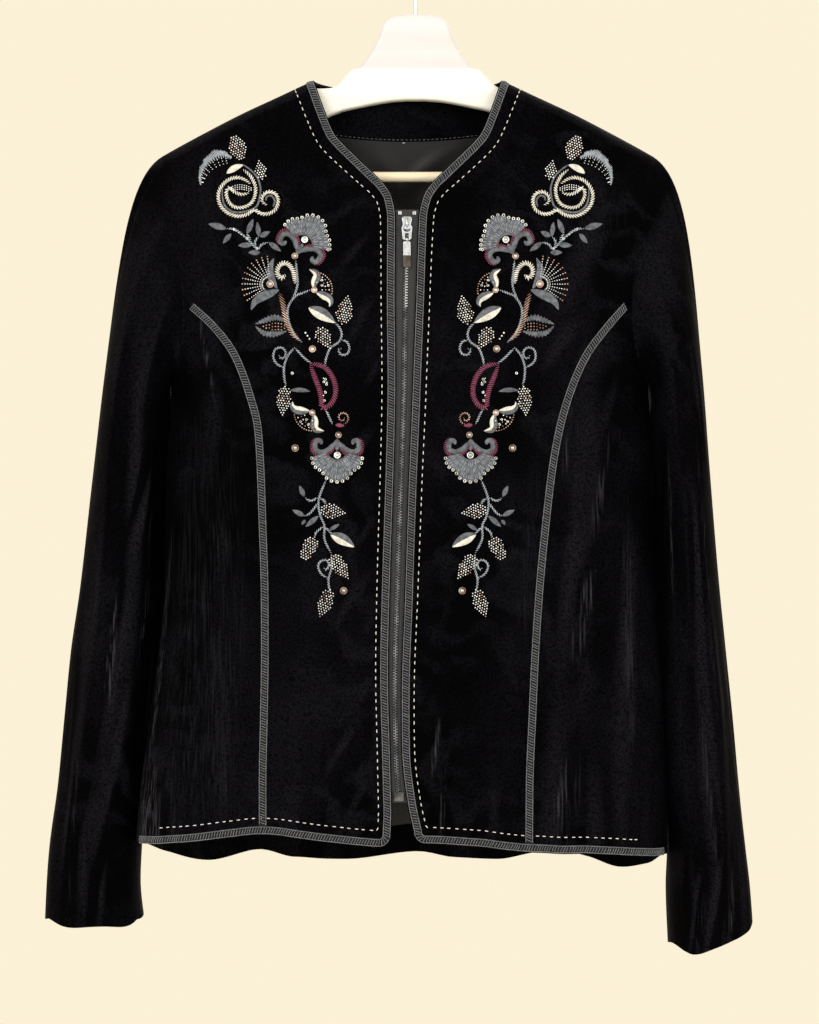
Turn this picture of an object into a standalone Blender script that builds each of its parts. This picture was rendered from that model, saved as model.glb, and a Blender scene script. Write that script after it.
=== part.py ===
"""Velvet jacket with a zip front, hanging on a plain wooden clothes hanger.

Metres, +Z up. The origin is the inside top of the hanger's hook, where a rail would touch it.
The front faces -Y, and +X is the wearer's left. The cloth is rigid here: each cut piece is a thin
closed wall, worked out from the body, armhole and sleeve sizes in the tables below.
"""

import math
from collections import namedtuple

import bmesh
import bpy
import numpy as np
from mathutils import Matrix, Vector

# Cloth and seams
VELVET = 0.0016
LINING = 0.0010
SEAM_GAP = 0.0003
LINING_GAP = 0.0004
JACKET_X = -0.0065        # the jacket has slid a little towards the wearer's right on the hanger
RIGHT, LEFT = -1, 1       # the wearer's sides, as the sign of x
SIDE_NAMES = {RIGHT: "right", LEFT: "left"}

# Body: half width to each side of the centre line, depth in front of and behind the hanger's plane
Level = namedtuple("Level", "z right left front back")
BODY = [
    Level(-0.100, 0.2060, 0.2060, 0.0130, 0.0130),
    Level(-0.124, 0.2060, 0.2060, 0.0150, 0.0145),
    Level(-0.150, 0.2060, 0.2060, 0.0210, 0.0185),
    Level(-0.186, 0.2060, 0.2060, 0.0300, 0.0260),
    Level(-0.225, 0.2040, 0.2045, 0.0390, 0.0340),
    Level(-0.270, 0.1985, 0.2000, 0.0460, 0.0400),
    Level(-0.320, 0.1945, 0.1965, 0.0530, 0.0440),
    Level(-0.372, 0.1935, 0.1970, 0.0585, 0.0460),
    Level(-0.459, 0.1975, 0.2045, 0.0590, 0.0450),
    Level(-0.500, 0.1975, 0.2060, 0.0575, 0.0435),
    Level(-0.560, 0.2000, 0.2072, 0.0570, 0.0440),
    Level(-0.614, 0.2072, 0.2088, 0.0580, 0.0450),
    Level(-0.654, 0.2120, 0.2100, 0.0590, 0.0460),
    Level(-0.695, 0.2175, 0.2112, 0.0595, 0.0475),
    Level(-0.750, 0.2225, 0.2127, 0.0605, 0.0495),
    Level(-0.790, 0.2235, 0.2130, 0.0610, 0.0500),
]
SIDE_ROUND = 0.060        # width over which the body rounds off into the side seam
TOP_ROUND = 0.014         # height over which the cloth rounds over the hanger at the shoulder

# Shoulder seam, seen from the front
Shoulder = namedtuple("Shoulder", "x z")
SHOULDER = [
    Shoulder(0.000, -0.0960),
    Shoulder(0.050, -0.1125),
    Shoulder(0.0768, -0.1237),
    Shoulder(0.1055, -0.1372),
    Shoulder(0.134, -0.1506),
    Shoulder(0.166, -0.1672),
    Shoulder(0.200, -0.1855),
    Shoulder(0.240, -0.2080),
]
NECK_X = 0.0768
TIP_X = 0.200

# Front neck and front edge: half the opening between the two fronts
Edge = namedtuple("Edge", "z half")
FRONT_EDGE = [
    Edge(-0.1237, 0.0768),
    Edge(-0.1300, 0.0746),
    Edge(-0.1525, 0.0666),
    Edge(-0.1705, 0.0590),
    Edge(-0.1766, 0.0541),
    Edge(-0.1895, 0.0414),
    Edge(-0.2030, 0.0277),
    Edge(-0.2113, 0.0194),
    Edge(-0.2230, 0.0122),
    Edge(-0.2400, 0.0090),
    Edge(-0.3030, 0.0080),
    Edge(-0.3800, 0.0062),
    Edge(-0.4600, 0.0055),
    Edge(-0.5400, 0.0055),
    Edge(-0.6200, 0.0047),
    Edge(-0.6680, 0.0042),
    Edge(-0.7100, 0.0060),
    Edge(-0.7450, 0.0105),
]
CORNER_RADIUS = 0.010     # rounded lower corner of each front
BACK_NECK_DROP = 0.0075   # how far the back neck dips below the neck point
BACK_NECK_POWER = 0.8     # 1 is a parabola, less is rounder at the neck points
EDGE_TURN = 0.015         # the front edge changes to its finer rows this far above the armhole junction

# The zip's line wanders towards the wearer's right on its way down
Sway = namedtuple("Sway", "z shift")
CENTRE_LINE = [
    Sway(-0.220, 0.0000),
    Sway(-0.303, -0.0016),
    Sway(-0.380, -0.0028),
    Sway(-0.459, -0.0054),
    Sway(-0.538, -0.0080),
    Sway(-0.616, -0.0100),
    Sway(-0.668, -0.0092),
    Sway(-0.745, -0.0030),
]

# Princess seams, as distances from the centre line
Princess = namedtuple("Princess", "z right left")
PRINCESS = [
    Princess(-0.305, 0.1806, 0.1806),
    Princess(-0.329, 0.1545, 0.1596),
    Princess(-0.352, 0.1380, 0.1428),
    Princess(-0.381, 0.1268, 0.1300),
    Princess(-0.410, 0.1195, 0.1216),
    Princess(-0.445, 0.1172, 0.1153),
    Princess(-0.490, 0.1157, 0.1101),
    Princess(-0.540, 0.1142, 0.1054),
    Princess(-0.590, 0.1140, 0.1021),
    Princess(-0.640, 0.1148, 0.0998),
    Princess(-0.695, 0.1159, 0.0976),
    Princess(-0.760, 0.1159, 0.0972),
]
JUNCTION_Z = -0.305       # where the princess seam meets the armhole
PIT_Z = -0.372            # underarm, at the top of the side seam

# Armhole seam above the princess seam in front, and down to the underarm behind
Armhole = namedtuple("Armhole", "z front back")
ARMHOLE = [
    Armhole(-0.1855, 0.2000, 0.2000),
    Armhole(-0.2050, 0.1985, 0.1975),
    Armhole(-0.2265, 0.1945, 0.1940),
    Armhole(-0.2450, 0.1890, 0.1905),
    Armhole(-0.2650, 0.1850, 0.1875),
    Armhole(-0.2855, 0.1822, 0.1850),
    Armhole(-0.3050, 0.1806, 0.1838),
    Armhole(-0.3400, 0.1806, 0.1855),
    Armhole(-0.3620, 0.1806, 0.1905),
    Armhole(-0.3720, 0.1806, 0.1950),
]

# Hems, across the whole width
CORNER_Z = -0.745         # height at which the hems' widths are taken at the front edges and princess seams
SIDE_HEM_Z = -0.750       # the same at the side seams
Hem = namedtuple("Hem", "x z")
FRONT_HEM = [
    Hem(-0.2225, -0.7467),
    Hem(-0.1703, -0.7407),
    Hem(-0.1172, -0.7353),
    Hem(-0.0644, -0.7405),
    Hem(-0.0180, -0.7449),
    Hem(0.0132, -0.7421),
    Hem(0.0556, -0.7441),
    Hem(0.0972, -0.7493),
    Hem(0.1444, -0.7500),
    Hem(0.2127, -0.7560),
]
BACK_HEM = [
    Hem(-0.2225, -0.7467),
    Hem(-0.2005, -0.7590),
    Hem(-0.1655, -0.7680),
    Hem(-0.1222, -0.7580),
    Hem(-0.0947, -0.7647),
    Hem(-0.0513, -0.7672),
    Hem(0.0088, -0.7597),
    Hem(0.0363, -0.7647),
    Hem(0.0738, -0.7672),
    Hem(0.1230, -0.7580),
    Hem(0.1505, -0.7647),
    Hem(0.1772, -0.7730),
    Hem(0.1990, -0.7682),
    Hem(0.2127, -0.7560),
]

# Largest folds, each a straight soft ridge (height above zero) or trough (below zero)
Fold = namedtuple("Fold", "x_top z_top x_low z_low width height")
FRONT_FOLDS = [
    Fold(-0.174, -0.290, -0.146, -0.430, 0.016, -0.0036),
    Fold(-0.160, -0.330, -0.136, -0.560, 0.018, 0.0034),
    Fold(-0.168, -0.470, -0.160, -0.760, 0.024, -0.0042),
    Fold(-0.114, -0.560, -0.116, -0.960, 0.032, -0.0052),
    Fold(-0.066, -0.560, -0.058, -0.960, 0.034, 0.0040),
    Fold(-0.148, -0.210, -0.100, -0.330, 0.026, -0.0030),
    Fold(0.158, -0.340, 0.134, -0.620, 0.017, 0.0036),
    Fold(0.176, -0.420, 0.158, -0.800, 0.022, -0.0040),
    Fold(0.126, -0.600, 0.122, -0.860, 0.018, 0.0036),
    Fold(0.098, -0.580, 0.096, -0.960, 0.030, -0.0046),
    Fold(0.052, -0.600, 0.050, -0.960, 0.032, 0.0036),
    Fold(0.146, -0.210, 0.102, -0.340, 0.026, -0.0028),
]
BACK_FOLDS = [
    Fold(-0.150, -0.420, -0.166, -0.960, 0.030, 0.0058),
    Fold(-0.108, -0.480, -0.122, -0.960, 0.030, -0.0056),
    Fold(-0.046, -0.500, -0.052, -0.960, 0.036, 0.0050),
    Fold(0.004, -0.440, 0.009, -0.960, 0.032, -0.0050),
    Fold(0.062, -0.500, 0.073, -0.960, 0.034, 0.0050),
    Fold(0.110, -0.460, 0.123, -0.960, 0.030, -0.0056),
    Fold(0.150, -0.420, 0.176, -0.960, 0.030, 0.0060),
    Fold(0.120, -0.210, 0.060, -0.420, 0.030, -0.0034),
    Fold(-0.126, -0.210, -0.064, -0.400, 0.030, -0.0034),
]

# Sleeves below the underarm: outer and inner edge, depth of the axis, half of the sleeve's depth
Arm = namedtuple("Arm", "z outer inner middle depth")
ARMS = {
    RIGHT: [
        Arm(-0.372, 0.2490, 0.1945, 0.006, 0.054),
        Arm(-0.400, 0.2525, 0.1951, 0.010, 0.054),
        Arm(-0.459, 0.2600, 0.1981, 0.016, 0.052),
        Arm(-0.540, 0.2698, 0.1998, 0.020, 0.049),
        Arm(-0.592, 0.2775, 0.2050, 0.021, 0.048),
        Arm(-0.646, 0.2829, 0.2117, 0.022, 0.047),
        Arm(-0.700, 0.2882, 0.2184, 0.022, 0.045),
        Arm(-0.753, 0.2952, 0.2215, 0.020, 0.042),
        Arm(-0.780, 0.2972, 0.2205, 0.019, 0.040),
        Arm(-0.825, 0.2990, 0.2155, 0.016, 0.036),
    ],
    LEFT: [
        Arm(-0.372, 0.2415, 0.1980, 0.000, 0.055),
        Arm(-0.400, 0.2435, 0.2002, 0.002, 0.056),
        Arm(-0.459, 0.2482, 0.2053, 0.005, 0.056),
        Arm(-0.528, 0.2542, 0.2075, 0.007, 0.054),
        Arm(-0.592, 0.2608, 0.2090, 0.008, 0.052),
        Arm(-0.646, 0.2665, 0.2106, 0.009, 0.050),
        Arm(-0.695, 0.2710, 0.2122, 0.009, 0.048),
        Arm(-0.727, 0.2742, 0.2158, 0.009, 0.047),
        Arm(-0.753, 0.2772, 0.2156, 0.009, 0.046),
        Arm(-0.785, 0.2808, 0.2120, 0.008, 0.044),
        Arm(-0.840, 0.2845, 0.2140, 0.006, 0.042),
    ],
}
ARM_TOP_Z = -0.400        # below this the sleeve follows the table, above it runs up to the armhole
ARM_FULLNESS = 2.3        # 2 is an ellipse, more is squarer
CAP_LEAVE = 0.16          # how far the sleeve head runs on along the shoulder, as a share of its length
CAP_ARRIVE = 0.55         # how far it comes down straight into the arm, as a share of its length
PIT_LEAVE = 0.003         # the same at the underarm, as a length

# Cuff edge height at the outer and inner side of each sleeve, and how far it hangs down between
Cuff = namedtuple("Cuff", "outer inner front back")
CUFFS = {
    RIGHT: Cuff(-0.8100, -0.8095, 0.0050, 0.0120),
    LEFT: Cuff(-0.8120, -0.8295, 0.0088, 0.0095),
}

# Sleeve folds: direction round the arm (0 outer, 90 front, 180 inner, 270 back), heights, spread
ArmFold = namedtuple("ArmFold", "angle z_top z_low twist spread height")
ARM_FOLDS = {
    RIGHT: [
        ArmFold(70, -0.210, -0.560, 26, 26, -0.0036),
        ArmFold(112, -0.330, -0.780, 10, 24, 0.0034),
        ArmFold(40, -0.420, -0.860, 16, 24, -0.0034),
        ArmFold(84, -0.560, -0.900, -12, 22, -0.0036),
        ArmFold(268, -0.280, -0.620, 20, 30, -0.0044),
        ArmFold(300, -0.480, -0.900, -14, 26, 0.0038),
        ArmFold(236, -0.520, -0.900, 8, 24, -0.0036),
    ],
    LEFT: [
        ArmFold(62, -0.220, -0.520, 22, 26, -0.0034),
        ArmFold(104, -0.340, -0.820, -8, 22, -0.0036),
        ArmFold(76, -0.460, -0.860, -14, 22, 0.0034),
        ArmFold(48, -0.620, -0.920, 10, 24, -0.0036),
        ArmFold(272, -0.290, -0.640, -20, 30, -0.0044),
        ArmFold(304, -0.460, -0.900, 12, 26, -0.0036),
        ArmFold(240, -0.500, -0.900, -10, 24, 0.0036),
    ],
}

# Braid, zip
TRIM_INSET = 0.0016       # velvet left showing between the cloth's edge and the braid
TRIM_WIDTH = 0.0073
TRIM_THICK = 0.0011
TRIM_GAP = 0.0006
TRIM_TOP = 0.6            # how far the princess braid goes into the last row below the armhole
TRIM_END = 0.6            # how far the hem braid goes into the last column before the side seam
MOST_LEAN = 0.8           # cosine of the sharpest slant that the braids' widths allow for
ZIP_TOP_Z = -0.2330
ZIP_BOX_Z = -0.7090
TAPE_WIDTH = 0.0140
TAPE_THICK = 0.0010
TAPE_GAP = 0.0007         # from the inside of the fronts back to the tapes
TAPE_ROWS = 20
SLIDER_Z = -0.2445

# Hanger
HANGER_THICK = 0.0140
HANGER_EDGE = 0.0050      # rounding of the wood's edges
HANGER_GAP = 0.0030       # from the top of the shoulder seam down to the wood
BAR_Z = -0.2026
BAR_RADIUS = 0.0042
BAR_END_X = 0.1720
HOOK_WIRE = 0.0015
HOOK_RADIUS = 0.0185
HOOK_NECK_Z = -0.0520     # the stem is straight up to here
HOOK_SWING = 0.0090       # how long the stem takes to swing out, and to swing back into the bend
HOOK_START = -58          # directions of the bend's two ends seen from its middle, in degrees
HOOK_END = 205
STEM_Z = -0.0660          # the wire's socket is cut from here
STEM_DEPTH = 0.0200       # how far the wire goes into the wood
WOOD_TOP_Z = -0.0700

# Grid sizes
LOW_ROWS = 15             # rows from the hem to the underarm or the princess seam's top
LOW_SHARES = [0.0, 0.007, 0.024] + [0.024 + 0.976 * i / (LOW_ROWS - 2) for i in range(1, LOW_ROWS - 1)]
HIGH_SHARES = [0.12, 0.24, 0.36, 0.48, 0.60, 0.71, 0.80, 0.87, 0.93, 0.965, 0.987, 1.0]
FACING_ROW = LOW_ROWS + 8  # the row of the back where the neck facing meets the lining
FRONT_COLUMNS = 8
SIDE_COLUMNS = 8
NECK_XS = [0.0, 0.022, 0.044, 0.058, 0.067, 0.0735]
LINING_REACH = 5          # columns of the back beyond the neck that the lining covers
CAP_RINGS = 6
ARM_RINGS = 8


def smooth(rows, given, wanted):
    """A smooth curve through a table's rows, from one column to another, without overshoot."""
    known = np.array(sorted((getattr(row, given), getattr(row, wanted)) for row in rows))
    xs, ys = known[:, 0], known[:, 1]
    step = np.diff(xs)
    slope = np.diff(ys) / step
    tangent = np.zeros(len(ys))
    tangent[0], tangent[-1] = slope[0], slope[-1]
    for i in range(1, len(ys) - 1):
        if slope[i - 1] * slope[i] > 0:
            tangent[i] = 2 * slope[i - 1] * slope[i] / (slope[i - 1] + slope[i])

    def value(x):
        x = np.clip(x, xs[0], xs[-1])
        i = np.clip(np.searchsorted(xs, x) - 1, 0, len(step) - 1)
        t = (x - xs[i]) / step[i]
        rise = ys[i] * (1 + 2 * t) * (1 - t) ** 2 + ys[i + 1] * t * t * (3 - 2 * t)
        return rise + step[i] * t * (1 - t) * (tangent[i] * (1 - t) - tangent[i + 1] * t)

    return value


width_at = {RIGHT: smooth(BODY, "z", "right"), LEFT: smooth(BODY, "z", "left")}
front_depth = smooth(BODY, "z", "front")
back_depth = smooth(BODY, "z", "back")
shoulder_z = smooth(SHOULDER, "x", "z")
edge_half = smooth(FRONT_EDGE, "z", "half")
centre_shift = smooth(CENTRE_LINE, "z", "shift")
princess_x = {RIGHT: smooth(PRINCESS, "z", "right"), LEFT: smooth(PRINCESS, "z", "left")}
armhole_front = smooth(ARMHOLE, "z", "front")
armhole_back = smooth(ARMHOLE, "z", "back")
front_hem = smooth(FRONT_HEM, "x", "z")
back_hem = smooth(BACK_HEM, "x", "z")
NECK_Z = float(shoulder_z(NECK_X))
TIP_Z = float(shoulder_z(TIP_X))


# The body's surface

def half_width(x, z):
    return np.where(x < 0, width_at[RIGHT](z), width_at[LEFT](z))


def rounding(distance, radius):
    """Rises from 0 to 1 like the square of a quarter circle, over the given radius."""
    share = np.minimum(distance / radius, 1.0)
    return 2 * share - share * share


def fullness(x, z):
    side = rounding(half_width(x, z) - np.abs(x), SIDE_ROUND)
    top = rounding(shoulder_z(np.abs(x)) - z, TOP_ROUND)
    return side * top


def body_level(x, y, z):
    """Zero on the body's surface: its slope there is the cloth's outward direction."""
    depth = np.where(y < 0, front_depth(z), back_depth(z))
    return (y / depth) ** 2 - fullness(x, z)


def outward(points):
    x, y, z = points[..., 0], points[..., 1], points[..., 2]
    h = 1e-5
    slope = np.stack([
        body_level(x + h, y, z) - body_level(x - h, y, z),
        body_level(x, y + h, z) - body_level(x, y - h, z),
        body_level(x, y, z + h) - body_level(x, y, z - h),
    ], axis=-1)
    return slope / np.linalg.norm(slope, axis=-1, keepdims=True)


def relief(folds, x, z):
    height = np.zeros(np.broadcast(x, z).shape)
    for fold in folds:
        along = (fold.z_top - z) / (fold.z_top - fold.z_low)
        middle = fold.x_top + (fold.x_low - fold.x_top) * along
        across = np.clip((x - middle) / fold.width, -1, 1)
        ends = np.sin(math.pi * np.clip(along, 0, 1)) ** 2
        height = height + fold.height * (1 - across ** 2) ** 2 * ends
    return height


def on_body(x, z, back=False):
    """Points of the body's outer surface, front or back, at the given x and z."""
    x, z = np.broadcast_arrays(np.asarray(x, float), np.asarray(z, float))
    full = np.maximum(fullness(x, z), 0)
    depth = back_depth(z) if back else front_depth(z)
    folds = relief(BACK_FOLDS if back else FRONT_FOLDS, x, z) * full
    y = np.maximum(depth * np.sqrt(full) + folds, SEAM_GAP / 2)
    return np.stack([x, y if back else -y, z], axis=-1)


def girth(distance):
    """Length along the rounded surface from the side seam to a distance from the body's edge."""
    turn = np.arccos(np.clip(1 - distance / SIDE_ROUND, -1, 1))
    beyond = SIDE_ROUND * math.pi / 2 + distance - SIDE_ROUND
    return np.where(distance < SIDE_ROUND, SIDE_ROUND * turn, beyond)


def girth_distance(length):
    """The inverse of girth."""
    quarter = SIDE_ROUND * math.pi / 2
    curved = SIDE_ROUND * (1 - np.cos(np.minimum(length, quarter) / SIDE_ROUND))
    return np.where(length < quarter, curved, length - quarter + SIDE_ROUND)


def front_edge_x(side, z):
    return centre_shift(z) + side * edge_half(z)


# Meshes

def material(name, colour, roughness, metallic=0.0):
    made = bpy.data.materials.new(name)
    made.use_nodes = True
    shader = made.node_tree.nodes["Principled BSDF"]
    shader.inputs["Base Color"].default_value = (*colour, 1)
    shader.inputs["Roughness"].default_value = roughness
    shader.inputs["Metallic"].default_value = metallic
    return made


def add_mesh(name, mesh, slot):
    mesh.materials.append(MATERIALS[slot])
    mesh.shade_smooth()
    mesh.set_sharp_from_angle(angle=math.radians(40))
    made = bpy.data.objects.new(name, mesh)
    COLLECTION.objects.link(made)
    return made


def wall(name, outer, inner, slot, tube=False):
    """A closed wall between two grids of points, open at its ends only as a tube is."""
    rows, columns = outer.shape[:2]
    grid = bmesh.new()
    sheets = []
    for points in (outer, inner):
        moved = points + np.array([JACKET_X, 0, 0])
        sheets.append([[grid.verts.new(point) for point in row] for row in moved])
    across = columns if tube else columns - 1
    for j in range(rows - 1):
        for i in range(across):
            k = (i + 1) % columns
            for sheet in sheets:
                grid.faces.new((sheet[j][i], sheet[j][k], sheet[j + 1][k], sheet[j + 1][i]))
    top, under = sheets
    for j in (0, rows - 1):
        for i in range(across):
            k = (i + 1) % columns
            grid.faces.new((top[j][i], top[j][k], under[j][k], under[j][i]))
    for i in () if tube else (0, columns - 1):
        for j in range(rows - 1):
            grid.faces.new((top[j][i], top[j + 1][i], under[j + 1][i], under[j][i]))
    bmesh.ops.recalc_face_normals(grid, faces=grid.faces)
    mesh = bpy.data.meshes.new(name)
    grid.to_mesh(mesh)
    grid.free()
    return add_mesh(name, mesh, slot)


def cloth(name, points, slot, lift=0.0, thick=VELVET):
    """A wall on the body's surface: its outer face is lifted off it, or sunk with a minus sign."""
    away = outward(points)
    return wall(name, points + lift * away, points + (lift - thick) * away, slot)


# Panels

def princess_levels(side):
    low = float(front_hem(side * princess_x[side](CORNER_Z)))
    return low + np.array(LOW_SHARES) * (JUNCTION_Z - low)


def front_panel(side):
    out_z = np.concatenate([
        princess_levels(side),
        JUNCTION_Z + np.array(HIGH_SHARES) * (TIP_Z - JUNCTION_Z),
    ])
    out_x = np.where(out_z > JUNCTION_Z, armhole_front(out_z), princess_x[side](out_z)) - SEAM_GAP / 2
    corner_x = front_edge_x(side, CORNER_Z) + side * CORNER_RADIUS
    in_low = float(front_hem(corner_x))
    in_turn = JUNCTION_Z + EDGE_TURN
    in_z = np.concatenate([
        in_low + np.array(LOW_SHARES) * (in_turn - in_low),
        in_turn + np.array(HIGH_SHARES) * (NECK_Z - in_turn),
    ])
    rise = np.clip(in_z - in_low, 0, CORNER_RADIUS)
    corner = CORNER_RADIUS - np.sqrt(CORNER_RADIUS ** 2 - (CORNER_RADIUS - rise) ** 2)
    in_x = front_edge_x(side, in_z) + side * corner
    across = np.linspace(0, 1, FRONT_COLUMNS + 1)
    x = in_x[:, None] + across * (side * out_x - in_x)[:, None]
    low, high = front_hem(x[0]), shoulder_z(np.abs(x[-1]))
    in_share = (in_z - in_z[0]) / (in_z[-1] - in_z[0])
    out_share = (out_z - out_z[0]) / (out_z[-1] - out_z[0])
    share = in_share[:, None] * (1 - across) + out_share[:, None] * across
    z = low + share * (high - low)
    return on_body(x, z)


def side_front_panel(side):
    across = np.linspace(0, 1, SIDE_COLUMNS + 1)
    share = np.array(LOW_SHARES)[:, None]
    turn = across * math.pi / 2
    top_z = JUNCTION_Z + (PIT_Z - JUNCTION_Z) * np.sin(turn)
    top_gap = (width_at[side](JUNCTION_Z) - armhole_front(JUNCTION_Z)) * np.cos(turn)
    top_full = girth(width_at[side](top_z) - princess_x[side](top_z))
    top_share = girth(top_gap) / top_full
    seam_x = side * princess_x[side](CORNER_Z)
    side_x = side * width_at[side](SIDE_HEM_Z)
    low = front_hem(seam_x + across * (side_x - seam_x))
    z = low + share * (top_z - low)
    mixed = (1 - across) * (1 - share ** 3) + top_share * share ** 3
    full = girth(width_at[side](z) - princess_x[side](z) - SEAM_GAP / 2)
    x = side * (width_at[side](z) - girth_distance(full * mixed))
    return on_body(x, z)


def back_rows(side):
    low = float(back_hem(side * width_at[side](SIDE_HEM_Z)))
    return np.concatenate([
        low + np.array(LOW_SHARES) * (PIT_Z - low),
        PIT_Z + np.array(HIGH_SHARES) * (TIP_Z - PIT_Z),
    ])


def back_half(side):
    """One half of the back, from the centre out to the side seam and armhole."""
    shoulder_xs = np.linspace(NECK_X, TIP_X, FRONT_COLUMNS + 1)
    top_x = np.concatenate([NECK_XS, shoulder_xs])
    dip = BACK_NECK_DROP * np.maximum(1 - (top_x / NECK_X) ** 2, 0) ** BACK_NECK_POWER
    top_z = np.where(top_x < NECK_X, NECK_Z - dip, shoulder_z(top_x))
    side_z = back_rows(side)
    share = ((side_z - side_z[0]) / (side_z[-1] - side_z[0]))[:, None]
    out = top_x / TIP_X
    bottom_width = width_at[side](SIDE_HEM_Z)
    bottom = bottom_width - girth_distance(girth(bottom_width) * (1 - out))
    low = back_hem(side * bottom)
    z = low + share * (top_z - low)
    arm_gap = np.where(side_z > PIT_Z, width_at[side](side_z) - armhole_back(side_z), 0)[:, None]
    arm_gap = np.maximum(arm_gap, 0)
    full = girth(width_at[side](z))
    edge = girth(arm_gap)
    x = width_at[side](z) - girth_distance(edge + (1 - out) * (full - edge))
    level = np.clip((side_z - PIT_Z) / (TIP_Z - PIT_Z), 0, 1)[:, None]
    straight = out * (width_at[side](side_z)[:, None] - arm_gap)
    return np.stack([side * (x + level * (straight - x)), z], axis=-1)


def back_grid():
    right, left = back_half(RIGHT), back_half(LEFT)
    return np.concatenate([right[:, :0:-1], left], axis=1)


# Sleeves

def armhole_loop(side):
    """The armhole seam from the shoulder tip down the front to the underarm and up the back."""
    front = front_panel(side)[LOW_ROWS:, -1][::-1]
    under = side_front_panel(side)[-1, 1:]
    back = back_half(side)[LOW_ROWS:, -1]
    behind = on_body(back[:, 0], back[:, 1], back=True)
    loop = np.concatenate([front, under, behind[1:-1]])
    loop[0, 1] = 0
    pit = len(front) + len(under) - 1
    loop[pit, 1] = 0
    return loop, pit


def unit(vectors):
    return vectors / np.linalg.norm(vectors, axis=-1, keepdims=True)


def arm_section(side, angle, z):
    rows = ARMS[side]
    outer, inner = smooth(rows, "z", "outer")(z), smooth(rows, "z", "inner")(z)
    middle, depth = smooth(rows, "z", "middle")(z), smooth(rows, "z", "depth")(z)
    power = 2 / ARM_FULLNESS
    wide = np.sign(np.cos(angle)) * np.abs(np.cos(angle)) ** power
    deep = np.sign(np.sin(angle)) * np.abs(np.sin(angle)) ** power
    x = (outer + inner) / 2 + (outer - inner) / 2 * wide
    return np.stack(np.broadcast_arrays(side * x, middle - depth * deep, z), axis=-1)


def cuff_z(side, angle):
    cuff = CUFFS[side]
    across = (cuff.outer + cuff.inner) / 2 + (cuff.outer - cuff.inner) / 2 * np.cos(angle)
    drop = np.where(np.sin(angle) > 0, cuff.front, cuff.back)
    return across - drop * np.sin(angle) ** 2


def arm_relief(side, angle, z):
    height = np.zeros(np.broadcast(angle, z).shape)
    for fold in ARM_FOLDS[side]:
        along = (fold.z_top - z) / (fold.z_top - fold.z_low)
        middle = math.radians(fold.angle) + math.radians(fold.twist) * along
        off = np.arctan2(np.sin(angle - middle), np.cos(angle - middle))
        across = np.clip(off / math.radians(fold.spread), -1, 1)
        ends = np.sin(math.pi * np.clip(along, 0, 1)) ** 2
        height = height + fold.height * (1 - across ** 2) ** 2 * ends
    return height


def loop_angles(loop, pit):
    """Directions round the arm, shared out by length over the front half and the back half."""
    closed = np.vstack([loop, loop[:1]])
    lengths = np.concatenate([[0], np.cumsum(np.linalg.norm(np.diff(closed, axis=0), axis=1))])
    front = math.pi * lengths[:pit + 1] / lengths[pit]
    back = math.pi + math.pi * (lengths[pit + 1:-1] - lengths[pit]) / (lengths[-1] - lengths[pit])
    return np.concatenate([front, back])


def sleeve_points(side):
    loop, pit = armhole_loop(side)
    angle = loop_angles(loop, pit)
    facing = outward(loop)
    along = np.roll(loop, -1, axis=0) - np.roll(loop, 1, axis=0)
    beyond = unit(side * np.cross(facing, along))
    low = ((1 - np.cos(angle)) / 2)[:, None]
    start = loop + SEAM_GAP * (beyond + facing)
    leave = unit(beyond * (1 - low) + facing * low)
    end = arm_section(side, angle, np.full(len(angle), ARM_TOP_Z))
    arrive = unit(arm_section(side, angle, np.full(len(angle), ARM_TOP_Z - 0.01)) - end)
    length = np.linalg.norm(end - start, axis=1, keepdims=True)
    first = start + leave * (CAP_LEAVE * length * (1 - low) + PIT_LEAVE * low)
    second = end - arrive * CAP_ARRIVE * length
    rings = []
    for i in range(CAP_RINGS + 1):
        t = i / (CAP_RINGS + 1)
        rings.append(start * (1 - t) ** 3 + first * 3 * t * (1 - t) ** 2
                     + second * 3 * t * t * (1 - t) + end * t ** 3)
    for i in range(ARM_RINGS + 1):
        z = ARM_TOP_Z + (cuff_z(side, angle) - ARM_TOP_Z) * i / ARM_RINGS
        rings.append(arm_section(side, angle, z))
    points = np.array(rings)
    middle = points.mean(axis=1, keepdims=True)
    radial = (points - middle) * np.array([1, 1, 0])
    height = arm_relief(side, angle, points[..., 2])
    settle = np.minimum(np.arange(len(rings)) / CAP_RINGS, 1)[:, None] ** 2
    return points + unit(radial) * (height * settle)[..., None]


def sleeve(side):
    points = sleeve_points(side)
    down = np.gradient(points, axis=0)
    around = np.roll(points, -1, axis=1) - np.roll(points, 1, axis=1)
    away = unit(side * np.cross(around, down))
    loop, pit = armhole_loop(side)
    low = ((1 - np.cos(loop_angles(loop, pit))) / 2)[:, None]
    away[0] = unit(outward(loop) * (1 - low) + away[0] * low)
    name = "sleeve_" + SIDE_NAMES[side]
    return wall(name, points, points - VELVET * away, "velvet", tube=True)


# Braid

def between(start, end, distance):
    """Points on straight lines from start points towards end points, a distance along them."""
    return start + (end - start) * (distance / np.linalg.norm(end - start, axis=-1, keepdims=True))


def braid(name, points):
    return cloth(name, points, "braid", lift=TRIM_GAP + TRIM_THICK, thick=TRIM_THICK)


def skew(edge, beside):
    """How much further a width reaches along the panel's rows where they meet its edge at a slant."""
    along = unit(np.gradient(edge, axis=0))
    lean = np.abs(np.sum(along * unit(beside - edge), axis=1, keepdims=True))
    return 1 / np.sqrt(1 - np.minimum(lean, MOST_LEAN) ** 2)


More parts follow.
